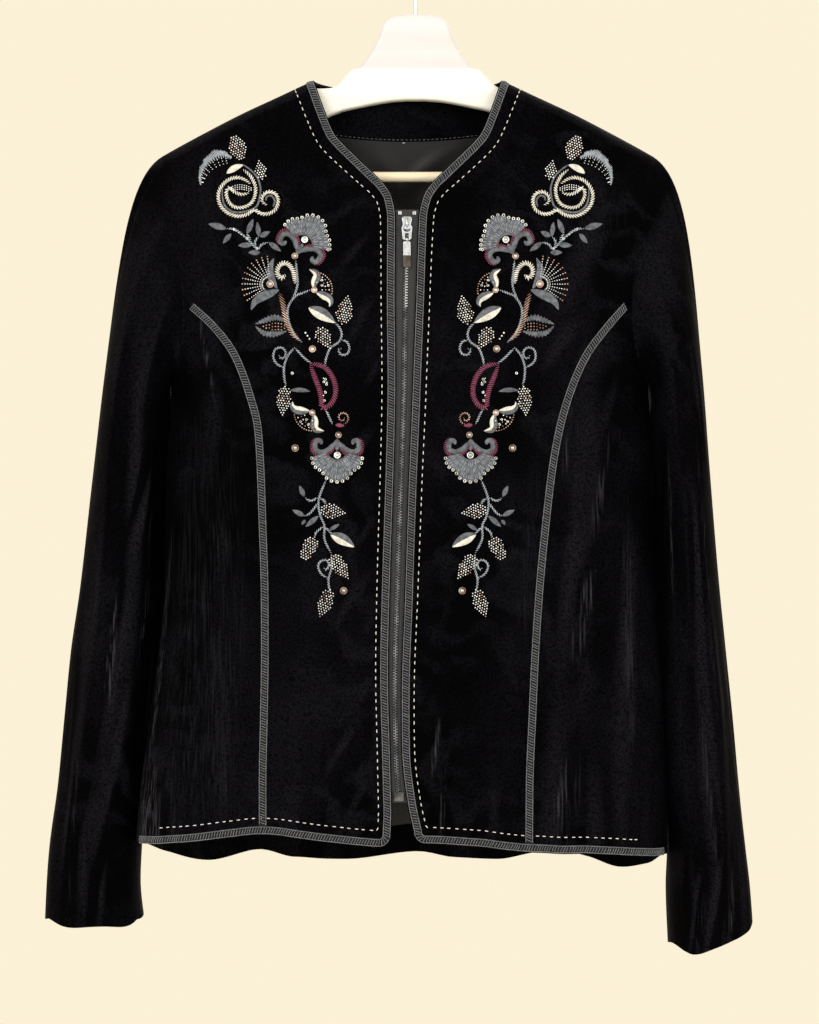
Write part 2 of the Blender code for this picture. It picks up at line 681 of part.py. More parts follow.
def front_trim(side):
    """Down the neck and front edge, round the lower corner and along the hem to the side seam."""
    front, side_front = front_panel(side), side_front_panel(side)
    near, far = TRIM_INSET, TRIM_INSET + TRIM_WIDTH
    edge, beside = front[2:, 0][::-1], front[2:, 1][::-1]
    slant = skew(edge, beside)
    down = np.stack([between(edge, beside, near * slant), between(edge, beside, far * slant)], axis=1)
    hem = np.concatenate([front[:3, 1:], side_front[:3, 1:]], axis=1)
    hem[:, -1] = hem[:, -2] + (hem[:, -1] - hem[:, -2]) * TRIM_END
    step = np.linalg.norm(hem[1] - hem[0], axis=-1, keepdims=True)
    along_hem = np.stack([between(hem[0], hem[1], near), between(hem[1], hem[2], far - step)], axis=1)
    middle_x = front_edge_x(side, CORNER_Z + CORNER_RADIUS) + side * CORNER_RADIUS
    middle = np.array([middle_x, front[0, 0, 2] + CORNER_RADIUS])
    inward = np.array([-side, -1]) / math.sqrt(2)
    corner = middle + inward * np.array([[CORNER_RADIUS - near], [CORNER_RADIUS - far]])
    turn = on_body(corner[:, 0], corner[:, 1])
    return braid("trim_front_" + SIDE_NAMES[side], np.concatenate([down, turn[None], along_hem]))


def princess_trim(side):
    """Over the seam between the front and the side front, from the hem braid up to the armhole."""
    front, side_front = front_panel(side), side_front_panel(side)
    rows = []
    for panel, seam, inside in ((front, -1, -2), (side_front, 0, 1)):
        edge, beside = panel[2:LOW_ROWS + 1, seam].copy(), panel[2:LOW_ROWS + 1, inside].copy()
        for line in (edge, beside):
            line[-1] = line[-2] + (line[-1] - line[-2]) * TRIM_TOP
        rows.append((edge, between(edge, beside, TRIM_WIDTH / 2 * skew(edge, beside))))
    (right, outer), (left, inner) = rows
    return braid("trim_princess_" + SIDE_NAMES[side], np.stack([outer, (right + left) / 2, inner], axis=1))


def back_neck_trim(back):
    """Round the back neck, at the same distances down the columns of the back from its top edge."""
    middle, reach = back.shape[1] // 2, len(NECK_XS) - 2
    columns = []
    for i in range(middle - reach, middle + reach + 1):
        line = back[:-6:-1, i]
        length = np.concatenate([[0], np.cumsum(np.linalg.norm(np.diff(line, axis=0), axis=1))])
        wanted = np.linspace(TRIM_INSET, TRIM_INSET + TRIM_WIDTH, 4)
        columns.append(np.stack([np.interp(wanted, length, line[:, k]) for k in range(3)], axis=-1))
    return braid("trim_back_neck", np.array(columns))


# Zip

def zip_tape(side):
    z = np.linspace(ZIP_BOX_Z, ZIP_TOP_Z, TAPE_ROWS + 1)[:, None]
    across = np.linspace(SEAM_GAP / 2, TAPE_WIDTH, 4)
    x = centre_shift(z) + side * across
    name = "zip_tape_" + SIDE_NAMES[side]
    return cloth(name, on_body(x, z), "zip_tape", lift=-(VELVET + TAPE_GAP), thick=TAPE_THICK)


def tape_frame(z):
    """Place on the front of the zip's tapes: Z runs up along them and -Y points out of them."""
    x = float(centre_shift(z))
    spot = on_body(np.array([x]), np.array([z]))
    away = outward(spot)[0]
    place = spot[0] - (VELVET + TAPE_GAP) * away
    tilt = math.atan2(-away[2], -away[1])
    return Matrix.Translation(Vector(place) + Vector((JACKET_X, 0, 0))) @ Matrix.Rotation(tilt, 4, "X")


def block(name, size, x, frame):
    """A metal box with rounded edges, resting on the tapes."""
    made = bmesh.new()
    bmesh.ops.create_cube(made, size=1)
    bmesh.ops.scale(made, vec=size, verts=made.verts)
    mesh = bpy.data.meshes.new(name)
    made.to_mesh(mesh)
    made.free()
    piece = add_mesh(name, mesh, "zip_metal")
    piece.matrix_world = frame @ Matrix.Translation((x, -(SEAM_GAP + size[1] / 2), 0))
    bevel = piece.modifiers.new("Rounded edges", "BEVEL")
    bevel.width = METAL_EDGE
    bevel.segments = 2
    return piece


def outline_mesh(name, loops, thick, edge, frame):
    """A flat plate with holes, from closed outlines in its X and Z, as thick as given along Y."""
    curve = bpy.data.curves.new(name, "CURVE")
    curve.dimensions = "2D"
    curve.fill_mode = "BOTH"
    curve.extrude = thick / 2 - edge
    curve.bevel_depth = edge
    curve.bevel_resolution = 1
    curve.offset = -edge
    for loop in loops:
        spline = curve.splines.new("POLY")
        spline.points.add(len(loop) - 1)
        for point, (x, z) in zip(spline.points, loop):
            point.co = (x, z, 0, 1)
        spline.use_cyclic_u = True
    flat = bpy.data.objects.new(name, curve)
    COLLECTION.objects.link(flat)
    flat.matrix_world = frame @ Matrix.Rotation(math.pi / 2, 4, "X")
    return solid_from(flat, name)


def solid_from(source, name):
    """The evaluated mesh of a curve object, welded into one closed body."""
    bpy.context.view_layer.update()
    evaluated = source.evaluated_get(bpy.context.evaluated_depsgraph_get())
    mesh = bpy.data.meshes.new_from_object(evaluated)
    welded = bmesh.new()
    welded.from_mesh(mesh)
    bmesh.ops.remove_doubles(welded, verts=welded.verts, dist=0.00002)
    bmesh.ops.recalc_face_normals(welded, faces=welded.faces)
    welded.to_mesh(mesh)
    welded.free()
    place = source.matrix_world.copy()
    bpy.data.objects.remove(source)
    mesh.name = name
    return mesh, place


def wire(name, points, radius, slot, frame=Matrix.Identity(4)):
    curve = bpy.data.curves.new(name, "CURVE")
    curve.dimensions = "3D"
    curve.bevel_depth = radius
    curve.bevel_resolution = 2
    curve.use_fill_caps = True
    spline = curve.splines.new("POLY")
    spline.points.add(len(points) - 1)
    for point, place in zip(spline.points, points):
        point.co = (*place, 1)
    line = bpy.data.objects.new(name, curve)
    COLLECTION.objects.link(line)
    line.matrix_world = frame
    mesh, place = solid_from(line, name)
    made = add_mesh(name, mesh, slot)
    made.matrix_world = place
    return made


def united(first, second):
    """Joins the second solid to the first with a union, and removes the second."""
    join = first.modifiers.new("Union", "BOOLEAN")
    join.operation = "UNION"
    join.object = second
    second.hide_render = True
    second.display_type = "WIRE"
    COLLECTION.objects.unlink(second)
    CUTTERS.objects.link(second)


def ring_points(radius_x, radius_z, middle_z, count):
    steps = [2 * math.pi * (i + 0.5) / count for i in range(count)]
    return [(radius_x * math.cos(a), middle_z + radius_z * math.sin(a)) for a in steps]


# Zip metal, in the frame of the tapes: heights above the tape in -Y
METAL_EDGE = 0.0006       # rounding of the slider and the box
PLATE_EDGE = 0.0003       # rounding of the link and the tab
PLATE_CORNER = 0.0010
STOP_SIZE = (0.0030, 0.0016, 0.0034)
STOP_X = 0.0058
STOP_DROP = 0.0030        # from the tapes' top end
BOX_SIZE = (0.0076, 0.0024, 0.0072)
BOX_RISE = 0.0048         # from the tapes' lower end
SLIDER_HEIGHT = 0.0030
SLIDER_LONG = 0.0110
SLIDER_TOP_WIDE = 0.0084
SLIDER_LOW_WIDE = 0.0066
BAIL_WIRE = 0.00065
BAIL_HALF = 0.0034
BAIL_RISE = 0.0056
BAIL_POWER = 0.6          # 1 is a half circle, less is squarer
LINK_LEVEL = 0.0042       # the two hinges are this far in front of the tape
LINK_THICK = 0.0011
LINK_HINGE_Z = -0.0008    # from the slider's middle
LINK_BAR = 0.0011         # width of the bar that turns in the bail
LINK_WIDE = 0.0086
LINK_LONG = 0.0142
LINK_LOW_WIDE = 0.0068
LINK_RIM = 0.0013
LINK_CHEEK = 0.0019       # metal on each side of the tab's slot
TAB_DROP = 0.0130         # from the link's hinge to the tab's
TAB_WIDE = 0.0059
TAB_LONG = 0.0212
TAB_THICK = 0.0015
TAB_LOOP = 0.0016
TAB_LOOP_WIRE = 0.00045
LOOP_BREAK = 0.25         # the loop's two ends stop this far, as an angle, from the middle of the tab


def zip_slider(frame):
    top, low = SLIDER_LONG / 2, -SLIDER_LONG / 2
    half = [
        (SLIDER_TOP_WIDE * 0.30, top),
        (SLIDER_TOP_WIDE * 0.46, top - 0.0008),
        (SLIDER_TOP_WIDE * 0.50, top - 0.0024),
        (SLIDER_LOW_WIDE * 0.52, 0.0),
        (SLIDER_LOW_WIDE * 0.50, low + 0.0010),
        (SLIDER_LOW_WIDE * 0.40, low),
    ]
    outline = half + [(-x, z) for x, z in reversed(half)]
    lifted = frame @ Matrix.Translation((0, -(SEAM_GAP + SLIDER_HEIGHT / 2), 0))
    mesh, place = outline_mesh("zip_slider", [outline], SLIDER_HEIGHT, METAL_EDGE, lifted)
    slider = add_mesh("zip_slider", mesh, "zip_metal")
    slider.matrix_world = place
    arch = []
    for i in range(13):
        turn = math.pi * i / 12
        reach = abs(math.cos(turn)) ** BAIL_POWER * math.copysign(1, math.cos(turn))
        rise = abs(math.sin(turn)) ** BAIL_POWER
        foot = SLIDER_HEIGHT - METAL_EDGE
        arch.append((0, -(foot + (BAIL_RISE - foot) * rise), BAIL_HALF * reach))
    bail = wire("zip_bail", arch, BAIL_WIRE, "zip_metal", frame)
    united(slider, bail)
    return slider


def zip_link(frame):
    """Keyhole plate: a wide eye round the slider's bail and a slot for the tab."""
    top = LINK_BAR / 2
    low = top - LINK_LONG
    eye_z = top - LINK_WIDE * 0.5
    outer = []
    for i in range(9):
        turn = math.pi * i / 8
        outer.append((LINK_WIDE / 2 * math.cos(turn), eye_z + LINK_WIDE / 2 * math.sin(turn)))
    low_half = LINK_LOW_WIDE / 2
    outer += [(-low_half, low + PLATE_CORNER), (-low_half + PLATE_CORNER, low),
              (low_half - PLATE_CORNER, low), (low_half, low + PLATE_CORNER)]
    eye = ring_points(LINK_WIDE / 2 - LINK_RIM, LINK_WIDE / 2 - LINK_BAR, eye_z, 12)
    slot_top = eye_z - LINK_WIDE / 2 + LINK_BAR - LINK_RIM
    slot_low = -TAB_DROP + LINK_BAR / 2
    slot_half = low_half - LINK_CHEEK
    slot = [(slot_half, slot_low), (slot_half, slot_top), (-slot_half, slot_top), (-slot_half, slot_low)]
    mesh, place = outline_mesh("zip_link", [outer, eye, slot], LINK_THICK, PLATE_EDGE, frame)
    link = add_mesh("zip_link", mesh, "zip_metal")
    link.matrix_world = place
    return link


def zip_tab(frame):
    top = -TAB_LOOP
    low = top - TAB_LONG
    half = TAB_WIDE / 2
    corner = PLATE_CORNER
    outline = [(half, top - corner), (half, low + corner), (half - corner, low), (-half + corner, low),
               (-half, low + corner), (-half, top - corner), (-half + corner, top), (half - corner, top)]
    mesh, place = outline_mesh("zip_tab", [outline], TAB_THICK, PLATE_EDGE, frame)
    tab = add_mesh("zip_tab", mesh, "zip_metal")
    tab.matrix_world = place
    around = []
    for i in range(13):
        turn = -math.pi / 2 + LOOP_BREAK + 2 * (math.pi - LOOP_BREAK) * i / 12
        around.append((0, TAB_LOOP * math.cos(turn), TAB_LOOP * math.sin(turn) - PLATE_EDGE))
    loop = wire("zip_tab_loop", around, TAB_LOOP_WIRE, "zip_metal", frame)
    united(tab, loop)
    return tab


def zip_parts():
    for side in (RIGHT, LEFT):
        zip_tape(side)
        block("zip_stop_" + SIDE_NAMES[side], STOP_SIZE, side * STOP_X, tape_frame(ZIP_TOP_Z - STOP_DROP))
    block("zip_box", BOX_SIZE, 0, tape_frame(ZIP_BOX_Z + BOX_RISE))
    frame = tape_frame(SLIDER_Z)
    zip_slider(frame)
    link = frame @ Matrix.Translation((0, -LINK_LEVEL, LINK_HINGE_Z))
    zip_link(link)
    zip_tab(link @ Matrix.Translation((0, 0, -TAB_DROP)))


# Hanger

def hanger_outline(side):
    """Half of the wooden body's outline, from the top middle round to the lower middle."""
    crown = [(0.0070, WOOD_TOP_Z), (0.0150, -0.0712), (0.0230, -0.0742), (0.0266, -0.0787)]
    flare = [(0.0303, -0.0893), (0.0367, -0.1016), (0.0433, -0.1106), (0.0482, -0.1147)]
    neck = [(0.0519, -0.1152), (0.0590, -0.1224), (0.0680, -0.1300)]
    arm_xs = (0.095, 0.120, 0.145, 0.166, 0.178)
    arm = [(x, float(shoulder_z(x - side * JACKET_X)) - HANGER_GAP) for x in arm_xs]
    tip = [(0.1860, -0.1895), (0.1882, -0.1965), (0.1850, -0.2070), (0.1770, -0.2130)]
    under = [(0.1640, -0.2090), (0.1400, -0.1925), (0.1050, -0.1700), (0.0662, -0.1515),
             (0.0459, -0.1460), (0.0229, -0.1416), (0.0070, -0.1403)]
    return [(side * x, z) for x, z in crown + flare + neck + arm + tip + under]


def hanger():
    outline = hanger_outline(LEFT) + hanger_outline(RIGHT)[::-1]
    mesh, place = outline_mesh("hanger_body", [outline], HANGER_THICK, HANGER_EDGE, Matrix.Identity(4))
    body = add_mesh("hanger_body", mesh, "hanger_wood")
    body.matrix_world = place
    for name, radius, half in (("hanger_bar", BAR_RADIUS, BAR_END_X),
                               ("bar_socket", BAR_RADIUS + SEAM_GAP, BAR_END_X + SEAM_GAP)):
        rod = bmesh.new()
        bmesh.ops.create_cone(rod, cap_ends=True, segments=16, radius1=radius, radius2=radius,
                              depth=2 * half)
        mesh = bpy.data.meshes.new(name)
        rod.to_mesh(mesh)
        rod.free()
        made = add_mesh(name, mesh, "bar_wood")
        made.matrix_world = Matrix.Translation((0, 0, BAR_Z)) @ Matrix.Rotation(math.pi / 2, 4, "Y")
    cut_out(body, made)
    stem_hole = wire("stem_socket", [(0, 0, STEM_Z), (0, 0, WOOD_TOP_Z - STEM_DEPTH - SEAM_GAP)],
                     HOOK_WIRE + SEAM_GAP, "hook_steel")
    cut_out(body, stem_hole)
    return body


def cut_out(body, cutter):
    cut = body.modifiers.new("Cut " + cutter.name, "BOOLEAN")
    cut.operation = "DIFFERENCE"
    cut.object = cutter
    cutter.hide_render = True
    cutter.display_type = "WIRE"
    COLLECTION.objects.unlink(cutter)
    CUTTERS.objects.link(cutter)


def hanger_hook():
    """A wire that rises from the wood, swings out and turns over the origin."""
    centre_z = HOOK_WIRE - HOOK_RADIUS
    points = [(0, 0, WOOD_TOP_Z - STEM_DEPTH), (0, 0, STEM_Z), (0, 0, HOOK_NECK_Z)]
    join = math.radians(HOOK_START)
    start = Vector((0, 0, HOOK_NECK_Z))
    end = Vector((HOOK_RADIUS * math.cos(join), 0, centre_z + HOOK_RADIUS * math.sin(join)))
    first = start + Vector((0, 0, HOOK_SWING))
    second = end - Vector((-math.sin(join), 0, math.cos(join))) * HOOK_SWING
    for i in range(1, 6):
        t = i / 6
        early = start * (1 - t) ** 3 + first * 3 * t * (1 - t) ** 2
        points.append(tuple(early + second * 3 * t * t * (1 - t) + end * t ** 3))
    last = math.radians(HOOK_END)
    for i in range(19):
        turn = join + (last - join) * i / 18
        points.append((HOOK_RADIUS * math.cos(turn), 0, centre_z + HOOK_RADIUS * math.sin(turn)))
    return wire("hanger_hook", points, HOOK_WIRE, "hook_steel")


# Putting it together

def body_panels():
    for side in (RIGHT, LEFT):
        name = SIDE_NAMES[side]
        cloth("front_" + name, front_panel(side), "velvet")
        cloth("side_front_" + name, side_front_panel(side), "velvet")
        sleeve(side)
        front_trim(side)
        princess_trim(side)
    grid = back_grid()
    back = on_body(grid[..., 0], grid[..., 1], back=True)
    cloth("back", back, "velvet")
    back_neck_trim(back)
    inside_back("back_neck_facing", grid[FACING_ROW:], len(NECK_XS) - 1, 0, "velvet")
    inside_back("back_lining", grid[2:FACING_ROW + 1], len(NECK_XS) + LINING_REACH, -1, "lining")


def inside_back(name, rows, reach, seam_row, slot):
    """A layer on the inside of the back, as many columns each way from its middle as reach says."""
    middle = rows.shape[1] // 2
    part = rows[:, middle - reach:middle + reach + 1].copy()
    part[seam_row, :, 1] += SEAM_GAP / 2 if seam_row == 0 else -SEAM_GAP / 2
    spots = on_body(part[..., 0], part[..., 1], back=True)
    cloth(name, spots, slot, lift=-(VELVET + LINING_GAP), thick=LINING)


for old in list(bpy.data.objects):
    bpy.data.objects.remove(old)
COLLECTION = bpy.data.collections.new("Velvet jacket on a hanger")
CUTTERS = bpy.data.collections.new("Cutters")
for made in (COLLECTION, CUTTERS):
    bpy.context.scene.collection.children.link(made)
MATERIALS = {
    "velvet": material("Black velvet", (0.006, 0.006, 0.008), 0.9),
    "lining": material("Grey lining", (0.035, 0.036, 0.040), 0.45),
    "braid": material("Grey braid", (0.090, 0.090, 0.095), 0.8),
    "zip_tape": material("Zip tape", (0.040, 0.040, 0.044), 0.85),
    "zip_metal": material("Zip metal", (0.620, 0.610, 0.590), 0.3, 1.0),
    "hanger_wood": material("Pale lacquered wood", (0.800, 0.760, 0.680), 0.4),
    "bar_wood": material("Pale bare wood", (0.720, 0.580, 0.400), 0.5),
    "hook_steel": material("Hook wire", (0.700, 0.700, 0.680), 0.25, 1.0),
}
body_panels()
zip_parts()
hanger()
hanger_hook()
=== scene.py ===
"""The look of a black velvet jacket on a plain wooden hanger.

The cloth follows the same tables as the solid model, on a finer grid and with smaller creases. Braid,
stitches, zip teeth and embroidery are laid on that surface. Metres, +Z up, the front faces -Y.
"""

import math
from collections import namedtuple

import bpy
import numpy as np
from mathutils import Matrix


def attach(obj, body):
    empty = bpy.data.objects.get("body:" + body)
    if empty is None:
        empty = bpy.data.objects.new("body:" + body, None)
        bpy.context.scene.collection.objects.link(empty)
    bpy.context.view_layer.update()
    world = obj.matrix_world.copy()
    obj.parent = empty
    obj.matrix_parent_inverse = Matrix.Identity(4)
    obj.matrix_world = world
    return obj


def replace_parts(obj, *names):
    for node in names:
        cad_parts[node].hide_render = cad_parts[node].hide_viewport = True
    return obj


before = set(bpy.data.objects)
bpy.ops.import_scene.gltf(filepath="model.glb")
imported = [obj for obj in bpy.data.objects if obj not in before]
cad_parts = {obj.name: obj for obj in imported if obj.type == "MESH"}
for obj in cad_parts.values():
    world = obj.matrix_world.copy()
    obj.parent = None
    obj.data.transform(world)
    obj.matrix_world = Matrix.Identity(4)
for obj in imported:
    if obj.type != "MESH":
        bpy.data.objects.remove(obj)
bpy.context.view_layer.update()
RANDOM = np.random.default_rng(7)


def table(kind, *rows):
    """Named rows from plain ones."""
    return [kind(*row) for row in rows]


# Cloth and seams
VELVET = 0.0016
LINING = 0.0010
SEAM_GAP = 0.00008
SEAM_ALLOWANCE = 0.0040   # how far the sleeve runs on under the panels at the armhole
SEAM_DEPTH = 0.0024
LINING_GAP = 0.0004
JACKET_X = -0.0065        # the jacket has slid a little towards the wearer's right on the hanger
RIGHT, LEFT = -1, 1       # the wearer's sides, as the sign of x
SIDE_NAMES = {RIGHT: "right", LEFT: "left"}

# Body: half width to each side of the centre line, depth in front of and behind the hanger's plane
Level = namedtuple("Level", "z right left front back")
BODY = table(Level,
    (-0.1, 0.206, 0.206, 0.013, 0.013), (-0.124, 0.206, 0.206, 0.015, 0.0145),
    (-0.15, 0.206, 0.206, 0.021, 0.0185), (-0.186, 0.206, 0.206, 0.03, 0.026),
    (-0.225, 0.204, 0.2045, 0.039, 0.034), (-0.27, 0.1985, 0.2, 0.046, 0.04),
    (-0.32, 0.1945, 0.1965, 0.053, 0.044), (-0.372, 0.1935, 0.197, 0.0585, 0.046),
    (-0.459, 0.1975, 0.2045, 0.059, 0.045), (-0.5, 0.1975, 0.206, 0.0575, 0.0435),
    (-0.56, 0.2, 0.2072, 0.057, 0.044), (-0.614, 0.2072, 0.2088, 0.058, 0.045),
    (-0.654, 0.212, 0.21, 0.059, 0.046), (-0.695, 0.2175, 0.2112, 0.0595, 0.0475),
    (-0.75, 0.2225, 0.2127, 0.0605, 0.0495), (-0.79, 0.2235, 0.213, 0.061, 0.05),
)
SIDE_ROUND = 0.060        # width over which the body rounds off into the side seam
TOP_ROUND = 0.014         # height over which the cloth rounds over the hanger at the shoulder

# Shoulder seam, seen from the front
Shoulder = namedtuple("Shoulder", "x z")
SHOULDER = table(Shoulder,
    (0.0, -0.096), (0.05, -0.1125), (0.0768, -0.1237), (0.1055, -0.1372), (0.134, -0.1506),
    (0.166, -0.1672), (0.2, -0.1855), (0.24, -0.208),
)
NECK_X = 0.0768
TIP_X = 0.200

# Front neck and front edge: half the opening between the two fronts
Edge = namedtuple("Edge", "z half")
FRONT_EDGE = table(Edge,
    (-0.1237, 0.0768), (-0.13, 0.0746), (-0.1525, 0.0666), (-0.1705, 0.059), (-0.1766, 0.0541),
    (-0.1895, 0.0414), (-0.203, 0.0277), (-0.2113, 0.0194), (-0.223, 0.0122), (-0.24, 0.009),
    (-0.303, 0.008), (-0.38, 0.0062), (-0.46, 0.0055), (-0.54, 0.0055), (-0.62, 0.0047), (-0.668, 0.0042),
    (-0.71, 0.006), (-0.745, 0.0105),
)
CORNER_RADIUS = 0.010     # rounded lower corner of each front
BACK_NECK_DROP = 0.0075   # how far the back neck dips below the neck point
BACK_NECK_POWER = 0.8     # 1 is a parabola, less is rounder at the neck points
EDGE_TURN = 0.015         # the front edge changes to its finer rows this far above the armhole junction

# The zip's line wanders towards the wearer's right on its way down
Sway = namedtuple("Sway", "z shift")
CENTRE_LINE = table(Sway,
    (-0.22, 0.0), (-0.303, -0.0016), (-0.38, -0.0028), (-0.459, -0.0054), (-0.538, -0.008), (-0.616, -0.01),
    (-0.668, -0.0092), (-0.745, -0.003),
)

# Princess seams, as distances from the centre line
Princess = namedtuple("Princess", "z right left")
PRINCESS = table(Princess,
    (-0.305, 0.1806, 0.1806), (-0.329, 0.1545, 0.1596), (-0.352, 0.138, 0.1428), (-0.381, 0.1268, 0.13),
    (-0.41, 0.1195, 0.1216), (-0.445, 0.1172, 0.1153), (-0.49, 0.1157, 0.1101), (-0.54, 0.1142, 0.1054),
    (-0.59, 0.114, 0.1021), (-0.64, 0.1148, 0.0998), (-0.695, 0.1159, 0.0976), (-0.76, 0.1159, 0.0972),
)
JUNCTION_Z = -0.305       # where the princess seam meets the armhole
PIT_Z = -0.372            # underarm, at the top of the side seam

# Armhole seam above the princess seam in front, and down to the underarm behind
Armhole = namedtuple("Armhole", "z front back")
ARMHOLE = table(Armhole,
    (-0.1855, 0.2, 0.2), (-0.205, 0.1985, 0.1975), (-0.2265, 0.1945, 0.194), (-0.245, 0.189, 0.1905),
    (-0.265, 0.185, 0.1875), (-0.2855, 0.1822, 0.185), (-0.305, 0.1806, 0.1838), (-0.34, 0.1806, 0.1855),
    (-0.362, 0.1806, 0.1905), (-0.372, 0.1806, 0.195),
)

# Hems, across the whole width
CORNER_Z = -0.745         # height at which the hems' widths are taken at the front edges and princess seams
SIDE_HEM_Z = -0.750       # the same at the side seams
Hem = namedtuple("Hem", "x z")
FRONT_HEM = table(Hem,
    (-0.2225, -0.7467), (-0.1703, -0.7407), (-0.1172, -0.7353), (-0.0644, -0.7405), (-0.018, -0.7449),
    (0.0132, -0.7421), (0.0556, -0.7441), (0.0972, -0.7493), (0.1444, -0.75), (0.2127, -0.756),
)
BACK_HEM = table(Hem,
    (-0.2225, -0.7467), (-0.2005, -0.759), (-0.1655, -0.768), (-0.1222, -0.758), (-0.0947, -0.7647),
    (-0.0513, -0.7672), (0.0088, -0.7597), (0.0363, -0.7647), (0.0738, -0.7672), (0.123, -0.758),
    (0.1505, -0.7647), (0.1772, -0.773), (0.199, -0.7682), (0.2127, -0.756),
)

# Largest folds, each a straight soft ridge (height above zero) or trough (below zero)
Fold = namedtuple("Fold", "x_top z_top x_low z_low width height")
FRONT_FOLDS = table(Fold,
    (-0.174, -0.29, -0.146, -0.43, 0.016, -0.0036), (-0.16, -0.33, -0.136, -0.56, 0.018, 0.0034),
    (-0.168, -0.47, -0.16, -0.76, 0.024, -0.0042), (-0.114, -0.56, -0.116, -0.96, 0.032, -0.0052),
    (-0.066, -0.56, -0.058, -0.96, 0.034, 0.004), (-0.148, -0.21, -0.1, -0.33, 0.026, -0.003),
    (0.158, -0.34, 0.134, -0.62, 0.017, 0.0036), (0.176, -0.42, 0.158, -0.8, 0.022, -0.004),
    (0.126, -0.6, 0.122, -0.86, 0.018, 0.0036), (0.098, -0.58, 0.096, -0.96, 0.03, -0.0046),
    (0.052, -0.6, 0.05, -0.96, 0.032, 0.0036), (0.146, -0.21, 0.102, -0.34, 0.026, -0.0028),
)
BACK_FOLDS = table(Fold,
    (-0.15, -0.42, -0.166, -0.96, 0.03, 0.0058), (-0.108, -0.48, -0.122, -0.96, 0.03, -0.0056),
    (-0.046, -0.5, -0.052, -0.96, 0.036, 0.005), (0.004, -0.44, 0.009, -0.96, 0.032, -0.005),
    (0.062, -0.5, 0.073, -0.96, 0.034, 0.005), (0.11, -0.46, 0.123, -0.96, 0.03, -0.0056),
    (0.15, -0.42, 0.176, -0.96, 0.03, 0.006), (0.12, -0.21, 0.06, -0.42, 0.03, -0.0034),
    (-0.126, -0.21, -0.064, -0.4, 0.03, -0.0034),
)

# Sleeves below the underarm: outer and inner edge, depth of the axis, half of the sleeve's depth
Arm = namedtuple("Arm", "z outer inner middle depth")
ARMS = {
    RIGHT: table(Arm,
        (-0.372, 0.249, 0.1928, 0.006, 0.054), (-0.4, 0.2525, 0.1934, 0.01, 0.054),
        (-0.459, 0.26, 0.1958, 0.016, 0.052), (-0.54, 0.2698, 0.1976, 0.02, 0.049),
        (-0.592, 0.2775, 0.2022, 0.021, 0.048), (-0.646, 0.2829, 0.2085, 0.022, 0.047),
        (-0.7, 0.2882, 0.215, 0.022, 0.045), (-0.753, 0.2952, 0.2195, 0.02, 0.042),
        (-0.78, 0.2972, 0.2205, 0.019, 0.04), (-0.825, 0.299, 0.2155, 0.016, 0.036),
    ),
    LEFT: table(Arm,
        (-0.372, 0.2415, 0.1972, 0.0, 0.055), (-0.4, 0.2435, 0.1988, 0.002, 0.056),
        (-0.459, 0.2482, 0.202, 0.005, 0.056), (-0.528, 0.2542, 0.2046, 0.007, 0.054),
        (-0.592, 0.2608, 0.2058, 0.008, 0.052), (-0.646, 0.2665, 0.2072, 0.009, 0.05),
        (-0.695, 0.271, 0.2088, 0.009, 0.048), (-0.727, 0.2742, 0.2122, 0.009, 0.047),
        (-0.753, 0.2772, 0.2134, 0.009, 0.046), (-0.785, 0.2808, 0.212, 0.008, 0.044),
        (-0.84, 0.2845, 0.214, 0.006, 0.042),
    ),
}
ARM_TOP_Z = -0.400        # below this the sleeve follows the table, above it runs up to the armhole
ARM_DROP = 0.01           # the arm's direction at its top is taken over this height
ARM_FULLNESS = 2.3        # 2 is an ellipse, more is squarer
CAP_LEAVE = 0.16          # how far the sleeve head runs on along the shoulder, as a share of its length
CAP_ARRIVE = 0.55         # how far it comes down straight into the arm, as a share of its length
PIT_LEAVE = 0.003         # the same at the underarm, as a length

# Cuff edge height at the outer and inner side of each sleeve, and how far it hangs down between
Cuff = namedtuple("Cuff", "outer inner front back")
CUFFS = {
    RIGHT: Cuff(-0.8100, -0.8095, 0.0050, 0.0120),
    LEFT: Cuff(-0.8120, -0.8295, 0.0088, 0.0095),
}

CUFF_WAVE = 0.0017        # the cuffs' edges waver by about this much

# Sleeve folds: direction round the arm (0 outer, 90 front, 180 inner, 270 back), heights, spread
ArmFold = namedtuple("ArmFold", "angle z_top z_low twist spread height")
ARM_FOLDS = {
    RIGHT: table(ArmFold,
        (70, -0.21, -0.56, 26, 26, -0.0036), (112, -0.33, -0.78, 10, 24, 0.0034),
        (40, -0.42, -0.86, 16, 24, -0.0034), (84, -0.56, -0.9, -12, 22, -0.0036),
        (268, -0.28, -0.62, 20, 30, -0.0044), (300, -0.48, -0.9, -14, 26, 0.0038),
        (236, -0.52, -0.9, 8, 24, -0.0036),
    ),
    LEFT: table(ArmFold,
        (62, -0.22, -0.52, 22, 26, -0.0034), (104, -0.34, -0.82, -8, 22, -0.0036),
        (76, -0.46, -0.86, -14, 22, 0.0034), (48, -0.62, -0.92, 10, 24, -0.0036),
        (272, -0.29, -0.64, -20, 30, -0.0044), (304, -0.46, -0.9, 12, 26, -0.0036),
        (240, -0.5, -0.9, -10, 24, 0.0036),
    ),
}

